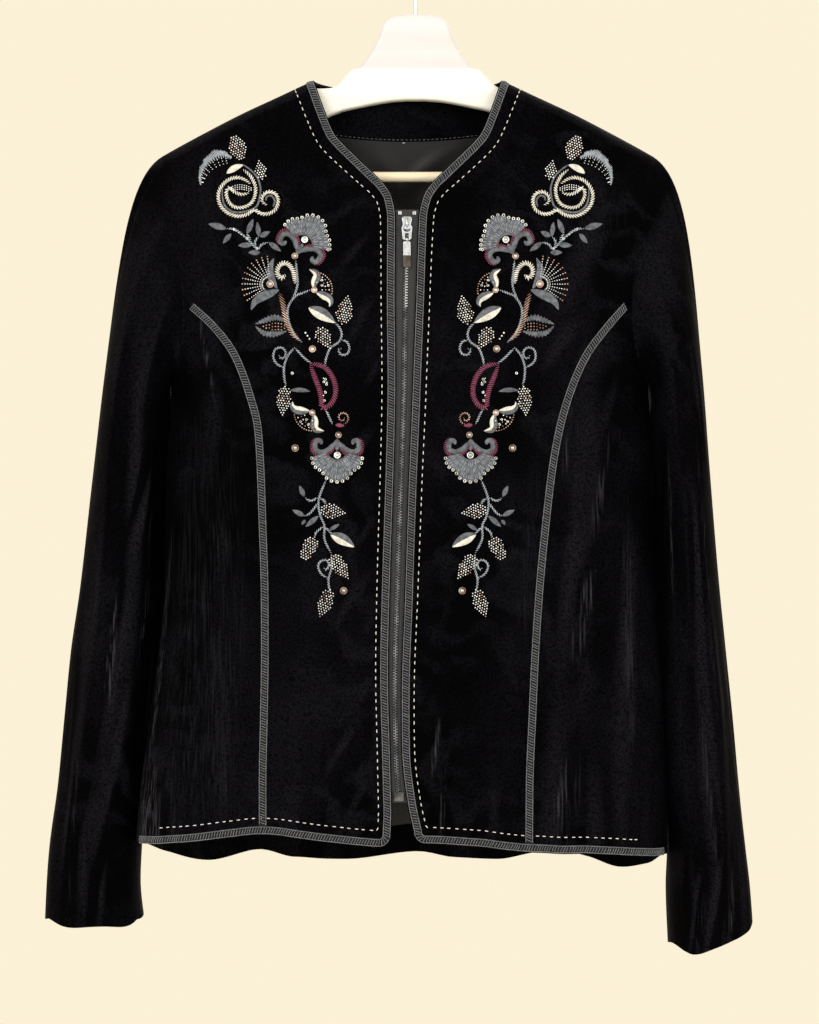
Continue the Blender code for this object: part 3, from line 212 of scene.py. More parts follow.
# Smaller creases, placed one by one: the same kind of rows as the folds above
FRONT_CREASES = table(Fold,
    (-0.026, -0.25, -0.056, -0.292, 0.008, 0.0009), (-0.024, -0.3, -0.046, -0.352, 0.009, 0.001),
    (-0.022, -0.345, -0.038, -0.38, 0.007, -0.0008), (-0.024, -0.405, -0.052, -0.462, 0.01, 0.0011),
    (-0.026, -0.47, -0.044, -0.506, 0.007, -0.0008), (-0.025, -0.52, -0.06, -0.585, 0.011, 0.0012),
    (-0.028, -0.598, -0.05, -0.64, 0.008, -0.0009), (-0.03, -0.632, -0.066, -0.7, 0.01, 0.0011),
    (-0.03, -0.69, -0.048, -0.735, 0.008, 0.001), (-0.092, -0.69, -0.086, -0.79, 0.012, 0.0016),
    (-0.136, -0.31, -0.108, -0.372, 0.012, 0.0012), (-0.128, -0.268, -0.15, -0.33, 0.012, -0.0014),
    (-0.182, -0.33, -0.166, -0.42, 0.008, 0.0014), (-0.15, -0.42, -0.152, -0.56, 0.012, -0.0016),
    (-0.178, -0.5, -0.184, -0.64, 0.011, 0.0018), (-0.142, -0.59, -0.136, -0.78, 0.012, 0.002),
    (-0.196, -0.56, -0.204, -0.8, 0.009, 0.002), (-0.188, -0.64, -0.19, -0.83, 0.01, -0.002),
    (0.02, -0.262, 0.044, -0.296, 0.008, 0.0009), (0.018, -0.312, 0.05, -0.372, 0.009, 0.001),
    (0.016, -0.38, 0.032, -0.414, 0.007, -0.0008), (0.016, -0.424, 0.052, -0.492, 0.01, 0.0012),
    (0.014, -0.498, 0.034, -0.54, 0.008, -0.0009), (0.012, -0.56, 0.046, -0.622, 0.01, 0.0012),
    (0.014, -0.622, 0.036, -0.664, 0.008, 0.001), (0.013, -0.65, 0.03, -0.7, 0.006, -0.001),
    (0.016, -0.682, 0.034, -0.738, 0.007, 0.0013), (0.024, -0.64, 0.032, -0.7, 0.006, 0.001),
    (0.078, -0.66, 0.074, -0.8, 0.012, 0.0016), (0.138, -0.318, 0.11, -0.38, 0.012, 0.0012),
    (0.132, -0.262, 0.152, -0.33, 0.012, -0.0014), (0.176, -0.352, 0.156, -0.44, 0.01, 0.0016),
    (0.15, -0.4, 0.142, -0.52, 0.009, -0.0016), (0.134, -0.48, 0.128, -0.64, 0.01, 0.0018),
    (0.186, -0.48, 0.178, -0.64, 0.01, 0.0018), (0.152, -0.64, 0.158, -0.82, 0.012, 0.002),
    (0.184, -0.62, 0.19, -0.82, 0.011, -0.002),
)
BACK_CREASES = table(Fold,
    (-0.176, -0.4, -0.14, -0.48, 0.014, 0.0018), (-0.088, -0.34, -0.078, -0.56, 0.016, 0.0018),
    (-0.02, -0.3, -0.024, -0.52, 0.016, -0.0016), (0.036, -0.36, 0.03, -0.62, 0.016, 0.0018),
    (0.084, -0.32, 0.098, -0.54, 0.015, -0.0018), (0.174, -0.39, 0.138, -0.47, 0.014, 0.0018),
    (-0.14, -0.6, -0.144, -0.86, 0.014, -0.0022), (0.092, -0.6, 0.098, -0.88, 0.014, 0.0022),
    (-0.08, -0.62, -0.088, -0.88, 0.014, 0.0022), (0.034, -0.64, 0.038, -0.88, 0.014, -0.002),
    (0.188, -0.56, 0.194, -0.84, 0.01, 0.002), (-0.19, -0.56, -0.2, -0.84, 0.01, 0.002),
    (-0.06, -0.16, -0.1, -0.24, 0.016, -0.0014), (0.064, -0.16, 0.108, -0.25, 0.016, -0.0014),
)
ARM_CREASES = {
    RIGHT: table(ArmFold,
        (98, -0.24, -0.42, 20, 11, 0.0016), (56, -0.3, -0.46, 24, 12, 0.0018),
        (128, -0.4, -0.52, -30, 12, -0.0018), (64, -0.47, -0.64, 14, 10, 0.002),
        (96, -0.52, -0.69, -10, 9, -0.0018), (118, -0.6, -0.76, -16, 10, 0.002),
        (50, -0.64, -0.8, 18, 10, 0.002), (78, -0.72, -0.85, 24, 9, 0.0018),
        (106, -0.74, -0.85, -18, 8, -0.0016), (24, -0.56, -0.74, 10, 12, -0.0018),
        (150, -0.56, -0.72, 8, 10, 0.0014), (250, -0.4, -0.56, 24, 14, 0.002),
        (286, -0.62, -0.78, -20, 12, -0.002), (224, -0.64, -0.8, 16, 12, 0.0018),
        (320, -0.42, -0.6, 18, 14, -0.0018),
    ),
    LEFT: table(ArmFold,
        (92, -0.24, -0.42, -18, 11, 0.0016), (58, -0.32, -0.48, -22, 12, 0.0018),
        (124, -0.39, -0.52, 26, 11, -0.0018), (84, -0.44, -0.62, 6, 8, -0.0022),
        (66, -0.5, -0.7, -6, 9, 0.002), (112, -0.58, -0.74, 12, 9, 0.0018),
        (90, -0.64, -0.8, -8, 9, 0.0022), (56, -0.69, -0.85, 16, 9, -0.0018),
        (74, -0.745, -0.86, 28, 8, 0.0022), (100, -0.76, -0.86, 24, 8, 0.002),
        (126, -0.74, -0.85, -14, 8, -0.0016), (28, -0.56, -0.74, -10, 12, -0.0018),
        (254, -0.41, -0.57, -22, 14, 0.002), (290, -0.6, -0.78, 18, 12, -0.002),
        (226, -0.64, -0.81, -14, 12, 0.0018), (316, -0.43, -0.61, -18, 14, -0.0018),
    ),
}

# Crushed pile, seen as paler streaks: places on the body, and round the arms
Streak = namedtuple("Streak", "x_top z_top x_low z_low width strength")
FRONT_STREAKS = table(Streak,
    (-0.189, -0.48, -0.213, -0.73, 0.0024, 0.95), (-0.208, -0.66, -0.212, -0.83, 0.012, 0.95),
    (-0.186, -0.64, -0.19, -0.78, 0.004, 0.15), (-0.16, -0.38, -0.166, -0.8, 0.036, 0.11),
    (-0.17, -0.31, -0.151, -0.4, 0.0014, 0.6), (-0.128, -0.18, -0.16, -0.26, 0.03, 0.05),
    (0.133, -0.39, 0.128, -0.455, 0.003, 0.8), (0.161, -0.41, 0.147, -0.505, 0.003, 0.85),
    (0.148, -0.52, 0.131, -0.61, 0.0042, 1.0), (0.128, -0.67, 0.118, -0.74, 0.0034, 0.85),
    (0.136, -0.67, 0.128, -0.76, 0.003, 0.5), (0.176, -0.46, 0.18, -0.7, 0.0034, 0.35),
    (0.026, -0.64, 0.019, -0.69, 0.0022, 0.8), (0.03, -0.68, 0.027, -0.735, 0.0022, 0.7),
    (0.104, -0.43, 0.09, -0.6, 0.008, 0.07), (0.13, -0.18, 0.164, -0.27, 0.03, 0.05),
)
BACK_STREAKS = table(Streak,
    (-0.15, -0.42, -0.16, -0.64, 0.012, 0.5), (-0.046, -0.52, -0.05, -0.74, 0.014, 0.4),
    (0.064, -0.48, 0.072, -0.72, 0.014, 0.45), (0.152, -0.42, 0.17, -0.7, 0.012, 0.55),
    (-0.12, -0.2, -0.08, -0.33, 0.026, 0.25), (0.122, -0.21, 0.07, -0.35, 0.026, 0.25),
    (-0.205, -0.6, -0.212, -0.78, 0.012, 0.6), (0.198, -0.6, 0.204, -0.78, 0.012, 0.5),
)
ArmStreak = namedtuple("ArmStreak", "angle z_top z_low twist spread strength")
ARM_STREAKS = {
    RIGHT: table(ArmStreak,
        (88, -0.54, -0.64, 4, 3, 0.8), (126, -0.47, -0.61, -6, 3, 0.35), (20, -0.48, -0.76, 6, 4, 0.2),
        (60, -0.62, -0.8, 10, 3, 0.25), (260, -0.4, -0.7, 14, 12, 0.45),
    ),
    LEFT: table(ArmStreak,
        (66, -0.42, -0.57, -2, 3, 0.45), (124, -0.42, -0.56, 4, 3, 0.5), (58, -0.57, -0.66, -6, 3, 0.45),
        (92, -0.6, -0.78, -8, 3, 0.3), (60, -0.76, -0.85, 20, 6, 0.5), (98, -0.78, -0.85, 16, 5, 0.35),
        (262, -0.42, -0.72, -14, 12, 0.45),
    ),
}

# Braid, zip
TRIM_INSET = 0.0008       # velvet left showing between the cloth's edge and the braid
TRIM_WIDTH = 0.0062
BRAID_WIDE = 0.85         # the threads' shapes are drawn for a braid that is wider than this one
BRAID_START = 0.0015      # from the neck point down to the front braid
HEM_BRAID_END = 0.006     # from the side seam to the end of the hem braid
PRINCESS_START = 0.006    # from the armhole junction down to the princess braid
PRINCESS_END = 0.0064     # from the hem up to its lower end
BACK_BRAID_X = 0.0755
ZIP_TOP_Z = -0.2330
ZIP_BOX_Z = -0.7090
TAPE_WIDTH = 0.0140
TAPE_THICK = 0.0010
TAPE_GAP = 0.0007         # from the inside of the fronts back to the tapes
TAPE_CORDS = [(0.0036, 0.0006, 0.00035), (0.0062, 0.0005, 0.00025)]   # ridges: place across, width, height
SLIDER_Z = -0.2445

# Hanger
HANGER_THICK = 0.0140
HANGER_EDGE = 0.0038      # rounding of the wood's edges
HANGER_GAP = 0.0030       # from the top of the shoulder seam down to the wood
BAR_Z = -0.2026
BAR_RADIUS = 0.0042
BAR_END_X = 0.1720
BAR_BEVEL = 0.0006
BAR_TIP = 0.86            # share of its radius left at its ends
HOOK_WIRE = 0.0015
HOOK_TIP = 0.7            # share of the wire's radius left at its end
HOOK_RADIUS = 0.0185
HOOK_NECK_Z = -0.0520     # the stem is straight up to here
HOOK_SWING = 0.0090       # how long the stem takes to swing out, and to swing back into the bend
HOOK_START = -58          # directions of the bend's two ends seen from its middle, in degrees
HOOK_END = 205
STEM_Z = -0.0660          # the wire's socket is cut from here
STEM_DEPTH = 0.0200       # how far the wire goes into the wood
WOOD_TOP_Z = -0.0700

# Looks of the front: neck band, running stitch, teeth, threads of the braid
NECK_BAND = 0.0290        # width of the raised band along the neckline
BAND_RISE = 0.0008        # its edge stands this much above the cloth beside it
BAND_SLOPE = 0.003        # width of that edge
BAND_END_Z = -0.2290
BAND_FADE = 0.012         # the band dies away over this height above its end
STITCH_PITCH = 0.0060
STITCH_TIP = 0.003        # no stitch this close to the line's ends
STITCH_CLEAR = 0.001      # from the neck point, and round the corner, to the line
STITCH_WANDER = 0.0003
STITCH_LONG = 0.0027
STITCH_THICK = 0.00036
TOOTH_PITCH = 0.0022
THREAD_PITCH = 0.0022
THREAD_THICK = 0.00022
THREAD_TIP = 0.0016       # no thread this close to the braid's ends
THREAD_WANDER = 0.00012
STRIP_TIP = 0.0006        # the strip under the threads stops this short of its line's ends
STRIP_STEP = 0.0022

# Fine grids: steps for each step of the solid model, in its coarser rows and in its finer ones
LOW_FINE = 7
HIGH_FINE = 4


def refined(values, parts):
    """The same run of values with each step shared into equal parts."""
    steps = np.arange(len(values))
    return np.interp(np.linspace(0, steps[-1], parts * steps[-1] + 1), steps, values)


COARSE_ROWS = 15
COARSE_LOW = [0.0, 0.007, 0.024] + [0.024 + 0.976 * i / (COARSE_ROWS - 2) for i in range(1, COARSE_ROWS - 1)]
COARSE_HIGH = [0.0, 0.12, 0.24, 0.36, 0.48, 0.60, 0.71, 0.80, 0.87, 0.93, 0.965, 0.987, 1.0]
LOW_SHARES = refined(COARSE_LOW, LOW_FINE)
HIGH_SHARES = refined(COARSE_HIGH, HIGH_FINE)[1:]
LOW_ROWS = len(LOW_SHARES) - 1
FACING_ROW = LOW_ROWS + 8 * HIGH_FINE
FRONT_COLUMNS = 48
SIDE_COLUMNS = 32
NECK_XS = refined([0.0, 0.022, 0.044, 0.058, 0.067, 0.0735, 0.0768], 4)[:-1]
LINING_REACH = 30         # columns of the back that the lining covers beyond the neck
LINING_BELOW = 0.012      # the lining stays this far below the shoulder seam
FACING_LOW_Z = -0.1708    # lower edge of the back neck facing, in the middle
FACING_RISE = 0.0034      # the edge rises by this much over the span to each side
FACING_SPAN = 0.055
FACING_STITCH_X = 0.062
FACING_STITCH_PITCH = 0.0036
FACING_STITCH_UP = 0.0016 # from the facing's lower edge up to its stitches
FACING_THREAD = 0.00026
TACK = (-0.0032, -0.0008)  # place of the pale tack: x, and height over that edge
LINING_ROW = 17           # first row of the back's grid that the lining covers
CAP_RINGS = 22
ARM_RINGS = 84
# Painted light on the velvet's folds: smoothing steps, strength and the light's direction
FOLD_LIGHT_REACH = 60            # steps of smoothing from the cloth to its wider form
FOLD_LIGHT_GAIN = 3.0
PAINTED_LIGHT_WAY = np.array([-0.45, -0.20, 0.87])


def smooth(rows, given, wanted):
    """A smooth curve through a table's rows, from one column to another, without overshoot."""
    known = np.array(sorted((getattr(row, given), getattr(row, wanted)) for row in rows))
    xs, ys = known[:, 0], known[:, 1]
    step = np.diff(xs)
    slope = np.diff(ys) / step
    tangent = np.zeros(len(ys))
    tangent[0], tangent[-1] = slope[0], slope[-1]
    for i in range(1, len(ys) - 1):
        if slope[i - 1] * slope[i] > 0:
            tangent[i] = 2 * slope[i - 1] * slope[i] / (slope[i - 1] + slope[i])

    def value(x):
        x = np.clip(x, xs[0], xs[-1])
        i = np.clip(np.searchsorted(xs, x) - 1, 0, len(step) - 1)
        t = (x - xs[i]) / step[i]
        rise = ys[i] * (1 + 2 * t) * (1 - t) ** 2 + ys[i + 1] * t * t * (3 - 2 * t)
        return rise + step[i] * t * (1 - t) * (tangent[i] * (1 - t) - tangent[i + 1] * t)

    return value


width_at = {RIGHT: smooth(BODY, "z", "right"), LEFT: smooth(BODY, "z", "left")}
front_depth = smooth(BODY, "z", "front")
back_depth = smooth(BODY, "z", "back")
shoulder_z = smooth(SHOULDER, "x", "z")
edge_half = smooth(FRONT_EDGE, "z", "half")
centre_shift = smooth(CENTRE_LINE, "z", "shift")
princess_x = {RIGHT: smooth(PRINCESS, "z", "right"), LEFT: smooth(PRINCESS, "z", "left")}
armhole_front = smooth(ARMHOLE, "z", "front")
armhole_back = smooth(ARMHOLE, "z", "back")
front_hem = smooth(FRONT_HEM, "x", "z")
back_hem = smooth(BACK_HEM, "x", "z")
NECK_Z = float(shoulder_z(NECK_X))
TIP_Z = float(shoulder_z(TIP_X))


# The body's surface

def half_width(x, z):
    return np.where(x < 0, width_at[RIGHT](z), width_at[LEFT](z))


def bend_between(start, first, second, end, t):
    """Places on a curve that leaves its start towards the first handle and arrives from the second."""
    return start * (1 - t) ** 3 + first * 3 * t * (1 - t) ** 2 + second * 3 * t * t * (1 - t) + end * t ** 3


def rounding(distance, radius):
    """Rises from 0 to 1 like the square of a quarter circle, over the given radius."""
    share = np.minimum(distance / radius, 1.0)
    return 2 * share - share * share


def fullness(x, z):
    side = rounding(half_width(x, z) - np.abs(x), SIDE_ROUND)
    top = rounding(shoulder_z(np.abs(x)) - z, TOP_ROUND)
    return side * top


def body_level(x, y, z):
    """Zero on the body's surface: its slope there is the cloth's outward direction."""
    depth = np.where(y < 0, front_depth(z), back_depth(z))
    return (y / depth) ** 2 - fullness(x, z)


def outward(points):
    x, y, z = points[..., 0], points[..., 1], points[..., 2]
    h = 1e-5
    slope = np.stack([
        body_level(x + h, y, z) - body_level(x - h, y, z),
        body_level(x, y + h, z) - body_level(x, y - h, z),
        body_level(x, y, z + h) - body_level(x, y, z - h),
    ], axis=-1)
    return slope / np.linalg.norm(slope, axis=-1, keepdims=True)


def on_line(row, x, z):
    """How near a place is to the middle of a row's length, and how far across its width."""
    along = (row.z_top - z) / (row.z_top - row.z_low)
    middle = row.x_top + (row.x_low - row.x_top) * along
    return np.sin(math.pi * np.clip(along, 0, 1)), np.clip((x - middle) / row.width, -1, 1)


def round_arm(row, angle, z):
    """The same for a row whose place across is a direction round the arm."""
    along = (row.z_top - z) / (row.z_top - row.z_low)
    middle = math.radians(row.angle) + math.radians(row.twist) * along
    off = np.arctan2(np.sin(angle - middle), np.cos(angle - middle))
    return np.sin(math.pi * np.clip(along, 0, 1)), np.clip(off / math.radians(row.spread), -1, 1)


def relief(folds, x, z, reach=on_line):
    """Height that the folds add to the cloth."""
    height = np.zeros(np.broadcast(x, z).shape)
    for fold in folds:
        ends, across = reach(fold, x, z)
        height = height + fold.height * (1 - across ** 2) ** 2 * ends ** 2
    return height


def crushed(streaks, x, z, reach=on_line):
    """How much the pile is crushed at each place, from 0 to 1."""
    mask = np.zeros(np.broadcast(x, z).shape)
    for streak in streaks:
        ends, across = reach(streak, x, z)
        mask = np.maximum(mask, streak.strength * (1 - across ** 2) * ends)
    return mask


def neck_band(x, z):
    """Height of the band along the neckline: flat within its width, with a short slope at its edge."""
    edge_z = np.linspace(NECK_Z, BAND_END_Z, 60)
    edge_x = edge_half(edge_z)
    off = np.hypot(np.abs(x)[..., None] - edge_x, z[..., None] - edge_z).min(axis=-1)
    inside = np.clip((NECK_BAND - off) / BAND_SLOPE, 0, 1)
    fade = np.clip((z - BAND_END_Z) / BAND_FADE, 0, 1)
    return BAND_RISE * inside * fade


def on_body(x, z, back=False):
    """Points of the body's outer surface, front or back, at the given x and z."""
    x, z = np.broadcast_arrays(np.asarray(x, float), np.asarray(z, float))
    full = np.maximum(fullness(x, z), 0)
    depth = back_depth(z) if back else front_depth(z)
    folds = relief(BACK_FOLDS + BACK_CREASES if back else FRONT_FOLDS + FRONT_CREASES, x, z)
    if not back:
        folds = folds + neck_band(x, z)
    y = np.maximum(depth * np.sqrt(full) + folds * full, SEAM_GAP / 2)
    return np.stack([x, y if back else -y, z], axis=-1)


def girth(distance):
    """Length along the rounded surface from the side seam to a distance from the body's edge."""
    turn = np.arccos(np.clip(1 - distance / SIDE_ROUND, -1, 1))
    beyond = SIDE_ROUND * math.pi / 2 + distance - SIDE_ROUND
    return np.where(distance < SIDE_ROUND, SIDE_ROUND * turn, beyond)


def girth_distance(length):
    """The inverse of girth."""
    quarter = SIDE_ROUND * math.pi / 2
    curved = SIDE_ROUND * (1 - np.cos(np.minimum(length, quarter) / SIDE_ROUND))
    return np.where(length < quarter, curved, length - quarter + SIDE_ROUND)


def front_edge_x(side, z):
    return centre_shift(z) + side * edge_half(z)


# Panels

def two_runs(low, turn, high):
    """Heights from low to high, in the coarser rows up to the turn and the finer ones above it."""
    return np.concatenate([low + LOW_SHARES * (turn - low), turn + HIGH_SHARES * (high - turn)])


def back_neck_dip(x):
    return BACK_NECK_DROP * np.maximum(1 - (x / NECK_X) ** 2, 0) ** BACK_NECK_POWER


def princess_low(side):
    """Height of the hem at the princess seam."""
    return float(front_hem(side * princess_x[side](CORNER_Z)))


def front_panel(side):
    out_z = two_runs(princess_low(side), JUNCTION_Z, TIP_Z)
    out_x = np.where(out_z > JUNCTION_Z, armhole_front(out_z), princess_x[side](out_z)) - SEAM_GAP / 2
    corner_x = front_edge_x(side, CORNER_Z) + side * CORNER_RADIUS
    in_low = float(front_hem(corner_x))
    in_turn = JUNCTION_Z + EDGE_TURN
    in_z = two_runs(in_low, in_turn, NECK_Z)
    rise = np.clip(in_z - in_low, 0, CORNER_RADIUS)
    corner = CORNER_RADIUS - np.sqrt(CORNER_RADIUS ** 2 - (CORNER_RADIUS - rise) ** 2)
    in_x = front_edge_x(side, in_z) + side * corner
    across = np.linspace(0, 1, FRONT_COLUMNS + 1)
    x = in_x[:, None] + across * (side * out_x - in_x)[:, None]
    low, high = front_hem(x[0]), shoulder_z(np.abs(x[-1]))
    in_share = (in_z - in_z[0]) / (in_z[-1] - in_z[0])
    out_share = (out_z - out_z[0]) / (out_z[-1] - out_z[0])
    share = in_share[:, None] * (1 - across) + out_share[:, None] * across
    z = low + share * (high - low)
    return on_body(x, z)


def side_front_panel(side):
    across = np.linspace(0, 1, SIDE_COLUMNS + 1)
    share = LOW_SHARES[:, None]
    turn = across * math.pi / 2
    top_z = JUNCTION_Z + (PIT_Z - JUNCTION_Z) * np.sin(turn)
    top_gap = (width_at[side](JUNCTION_Z) - armhole_front(JUNCTION_Z)) * np.cos(turn)
    top_full = girth(width_at[side](top_z) - princess_x[side](top_z))
    top_share = girth(top_gap) / top_full
    seam_x = side * princess_x[side](CORNER_Z)
    side_x = side * width_at[side](SIDE_HEM_Z)
    low = front_hem(seam_x + across * (side_x - seam_x))
    z = low + share * (top_z - low)
    mixed = (1 - across) * (1 - share ** 3) + top_share * share ** 3
    full = girth(width_at[side](z) - princess_x[side](z) - SEAM_GAP / 2)
    x = side * (width_at[side](z) - girth_distance(full * mixed))
    return on_body(x, z)


def back_rows(side):
    low = float(back_hem(side * width_at[side](SIDE_HEM_Z)))
    return two_runs(low, PIT_Z, TIP_Z)


def back_half(side):
    """One half of the back, from the centre out to the side seam and armhole."""
    shoulder_xs = np.linspace(NECK_X, TIP_X, FRONT_COLUMNS + 1)
    top_x = np.concatenate([NECK_XS, shoulder_xs])
    dip = back_neck_dip(top_x)
    top_z = np.where(top_x < NECK_X, NECK_Z - dip, shoulder_z(top_x))
    side_z = back_rows(side)
    share = ((side_z - side_z[0]) / (side_z[-1] - side_z[0]))[:, None]
    out = top_x / TIP_X
    bottom_width = width_at[side](SIDE_HEM_Z)
    bottom = bottom_width - girth_distance(girth(bottom_width) * (1 - out))
    low = back_hem(side * bottom)
    z = low + share * (top_z - low)
    arm_gap = np.where(side_z > PIT_Z, width_at[side](side_z) - armhole_back(side_z), 0)[:, None]
    arm_gap = np.maximum(arm_gap, 0)
    full = girth(width_at[side](z))
    edge = girth(arm_gap)
    x = width_at[side](z) - girth_distance(edge + (1 - out) * (full - edge))
    level = np.clip((side_z - PIT_Z) / (TIP_Z - PIT_Z), 0, 1)[:, None]
    straight = out * (width_at[side](side_z)[:, None] - arm_gap)
    return np.stack([side * (x + level * (straight - x)), z], axis=-1)


def back_grid():
    right, left = back_half(RIGHT), back_half(LEFT)
    return np.concatenate([right[:, :0:-1], left], axis=1)


# Sleeves

def armhole_loop(side):
    """The armhole seam from the shoulder tip down the front to the underarm and up the back."""
    front = front_panel(side)[LOW_ROWS:, -1][::-1]
    under = side_front_panel(side)[-1, 1:]
    back = back_half(side)[LOW_ROWS:, -1]
    behind = on_body(back[:, 0], back[:, 1], back=True)
    loop = np.concatenate([front, under, behind[1:-1]])
    loop[0, 1] = 0
    pit = len(front) + len(under) - 1
    loop[pit, 1] = 0
    return loop, pit


def unit(vectors):
    return vectors / np.linalg.norm(vectors, axis=-1, keepdims=True)


def left_of(ways):
    """Flat directions turned by a quarter."""
    return np.stack([-ways[:, 1], ways[:, 0]], axis=1)


def set_in(line, inset, side):
    """A front's edge line, moved into the cloth."""
    return line + inset * side * left_of(unit(np.gradient(line, axis=0)))


def run_lengths(path):
    """Length along a path up to each of its points."""
    return np.concatenate([[0], np.cumsum(np.linalg.norm(np.diff(path, axis=0), axis=1))])


def squarish(wave, power):
    """A sine or cosine made squarer, for a section between a circle and a rectangle."""
    return np.sign(wave) * np.abs(wave) ** power


def arm_section(side, angle, z):
    rows = ARMS[side]
    outer, inner = smooth(rows, "z", "outer")(z), smooth(rows, "z", "inner")(z)
    middle, depth = smooth(rows, "z", "middle")(z), smooth(rows, "z", "depth")(z)
    power = 2 / ARM_FULLNESS
    wide = squarish(np.cos(angle), power)
    deep = squarish(np.sin(angle), power)
    x = (outer + inner) / 2 + (outer - inner) / 2 * wide
    return np.stack(np.broadcast_arrays(side * x, middle - depth * deep, z), axis=-1)


def cuff_z(side, angle):
    cuff = CUFFS[side]
    across = (cuff.outer + cuff.inner) / 2 + (cuff.outer - cuff.inner) / 2 * np.cos(angle)
    drop = np.where(np.sin(angle) > 0, cuff.front, cuff.back)
    wave = CUFF_WAVE * (np.sin(5 * angle + 0.9 * side) + 0.6 * np.sin(3 * angle - 1.2))
    return across - drop * np.sin(angle) ** 2 + wave


def loop_angles(loop, pit):
    """Directions round the arm, shared out by length over the front half and the back half."""
    closed = np.vstack([loop, loop[:1]])
    lengths = run_lengths(closed)
    front = math.pi * lengths[:pit + 1] / lengths[pit]
    back = math.pi + math.pi * (lengths[pit + 1:-1] - lengths[pit]) / (lengths[-1] - lengths[pit])
    return np.concatenate([front, back])


def sleeve_points(side):
    loop, pit = armhole_loop(side)
    angle = loop_angles(loop, pit)
    facing = outward(loop)
    along = np.roll(loop, -1, axis=0) - np.roll(loop, 1, axis=0)
    beyond = unit(side * np.cross(facing, along))
    low = ((1 - np.cos(angle)) / 2)[:, None]
    start = loop + SEAM_GAP * (beyond + facing)
    leave = unit(beyond * (1 - low) + facing * low)
    end = arm_section(side, angle, np.full(len(angle), ARM_TOP_Z))
    arrive = unit(arm_section(side, angle, np.full(len(angle), ARM_TOP_Z - ARM_DROP)) - end)
    length = np.linalg.norm(end - start, axis=1, keepdims=True)
    first = start + leave * (CAP_LEAVE * length * (1 - low) + PIT_LEAVE * low)
    second = end - arrive * CAP_ARRIVE * length
    rings = [loop - SEAM_ALLOWANCE * beyond - SEAM_DEPTH * facing]
    for i in range(CAP_RINGS + 1):
        rings.append(bend_between(start, first, second, end, i / (CAP_RINGS + 1)))
    for i in range(ARM_RINGS + 1):
        z = ARM_TOP_Z + (cuff_z(side, angle) - ARM_TOP_Z) * i / ARM_RINGS
        rings.append(arm_section(side, angle, z))
    points = np.array(rings)
    middle = points.mean(axis=1, keepdims=True)
    radial = (points - middle) * np.array([1, 1, 0])
    height = relief(ARM_FOLDS[side] + ARM_CREASES[side], angle, points[..., 2], round_arm)
    settle = np.minimum(np.arange(len(rings)) / CAP_RINGS, 1)[:, None] ** 2
    return points + unit(radial) * (height * settle)[..., None]


# Meshes

class Bag:
    """Points and faces of many shapes, gathered for one mesh."""

    def __init__(self):
        self.points = []
        self.faces = {3: [], 4: []}
        self.count = 0

    def add(self, points, *faces):
        """Adds one shape, or many copies of one as an array with a row for each."""
        points = np.asarray(points, float)
        copies = points if points.ndim == 3 else points[None]
        shift = self.count + np.arange(len(copies)) * copies.shape[1]
        for group in faces:
            group = np.asarray(group, int)
            if len(group):
                size = group.shape[1]
                self.faces[size].append((group[None] + shift[:, None, None]).reshape(-1, size))
        self.points.append(copies.reshape(-1, 3))
        self.count += copies.shape[0] * copies.shape[1]

    def gathered(self):
        faces = {size: np.concatenate(rows) for size, rows in self.faces.items() if rows}
        return np.concatenate(self.points), faces


def piece(name, points, faces, slot, body="jacket", sharp=None, moved=True):
    """One visible mesh, riding a body. The jacket's own pieces are moved along the hanger with it."""
    points = np.asarray(points, float) + np.array([JACKET_X if moved else 0, 0, 0])
    mesh = bpy.data.meshes.new(name)
    mesh.vertices.add(len(points))
    mesh.vertices.foreach_set("co", points.ravel())
    loops = np.concatenate([rows.ravel() for rows in faces.values()])
    sizes = np.concatenate([np.full(len(rows), size) for size, rows in faces.items()])
    mesh.loops.add(len(loops))
    mesh.loops.foreach_set("vertex_index", loops)
    mesh.polygons.add(len(sizes))
    mesh.polygons.foreach_set("loop_start", np.concatenate([[0], np.cumsum(sizes)[:-1]]))
    mesh.update(calc_edges=True)
    mesh.validate()
    mesh.shade_smooth()
    if sharp:
        mesh.set_sharp_from_angle(angle=math.radians(sharp))
    mesh.materials.append(MATERIALS[slot])
    made = bpy.data.objects.new(name, mesh)
    bpy.context.scene.collection.objects.link(made)
    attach(made, body)
    return made


def grid_faces(rows, columns, tube=False):
    """Quads of a grid of points, row by row; a tube's last column meets its first."""
    at = np.arange(rows * columns).reshape(rows, columns)
    if tube:
        at = np.concatenate([at, at[:, :1]], axis=1)
    return np.stack([at[:-1, :-1], at[:-1, 1:], at[1:, 1:], at[1:, :-1]], axis=-1).reshape(-1, 4)


def volume(points, quads):
    a, b, c, d = (points[quads[:, k]] for k in range(4))
    return float(np.sum(np.cross(a, b) * c) + np.sum(np.cross(a, c) * d))


def wall(name, outer, inner, slot, tube=False, streaks=None):
    """A closed wall between two grids of points, open at its ends only as a tube is."""
    rows, columns = outer.shape[:2]
    count = rows * columns
    at = np.arange(count).reshape(rows, columns)
    face = grid_faces(rows, columns, tube)
    parts = [face, face[:, ::-1] + count]
    rims = [(at[0], 1), (at[-1], -1)]
    if not tube:
        rims += [(at[:, 0], -1), (at[:, -1], 1)]
    for line, turn in rims:
        start, end = (line, np.roll(line, -1)) if tube else (line[:-1], line[1:])
        rim = np.stack([start, start + count, end + count, end], axis=-1)
        parts.append(rim[:, ::turn])
    quads = np.concatenate(parts)
    points = np.concatenate([outer.reshape(-1, 3), inner.reshape(-1, 3)])
    if volume(points, quads) < 0:
        quads = quads[:, ::-1]
    made = piece(name, points, {4: quads}, slot, sharp=50)
    if streaks is not None:
        # Besides the crushed pile, a layer of painted light on the folds, read by the velvet's colour
        for layer_name, values in (("crush", streaks), ("fold_light", fold_light_share(outer, tube))):
            layer = made.data.attributes.new(layer_name, "FLOAT", "POINT")
            layer.data.foreach_set("value", np.tile(values.ravel(), 2).astype(np.float32))
    return made


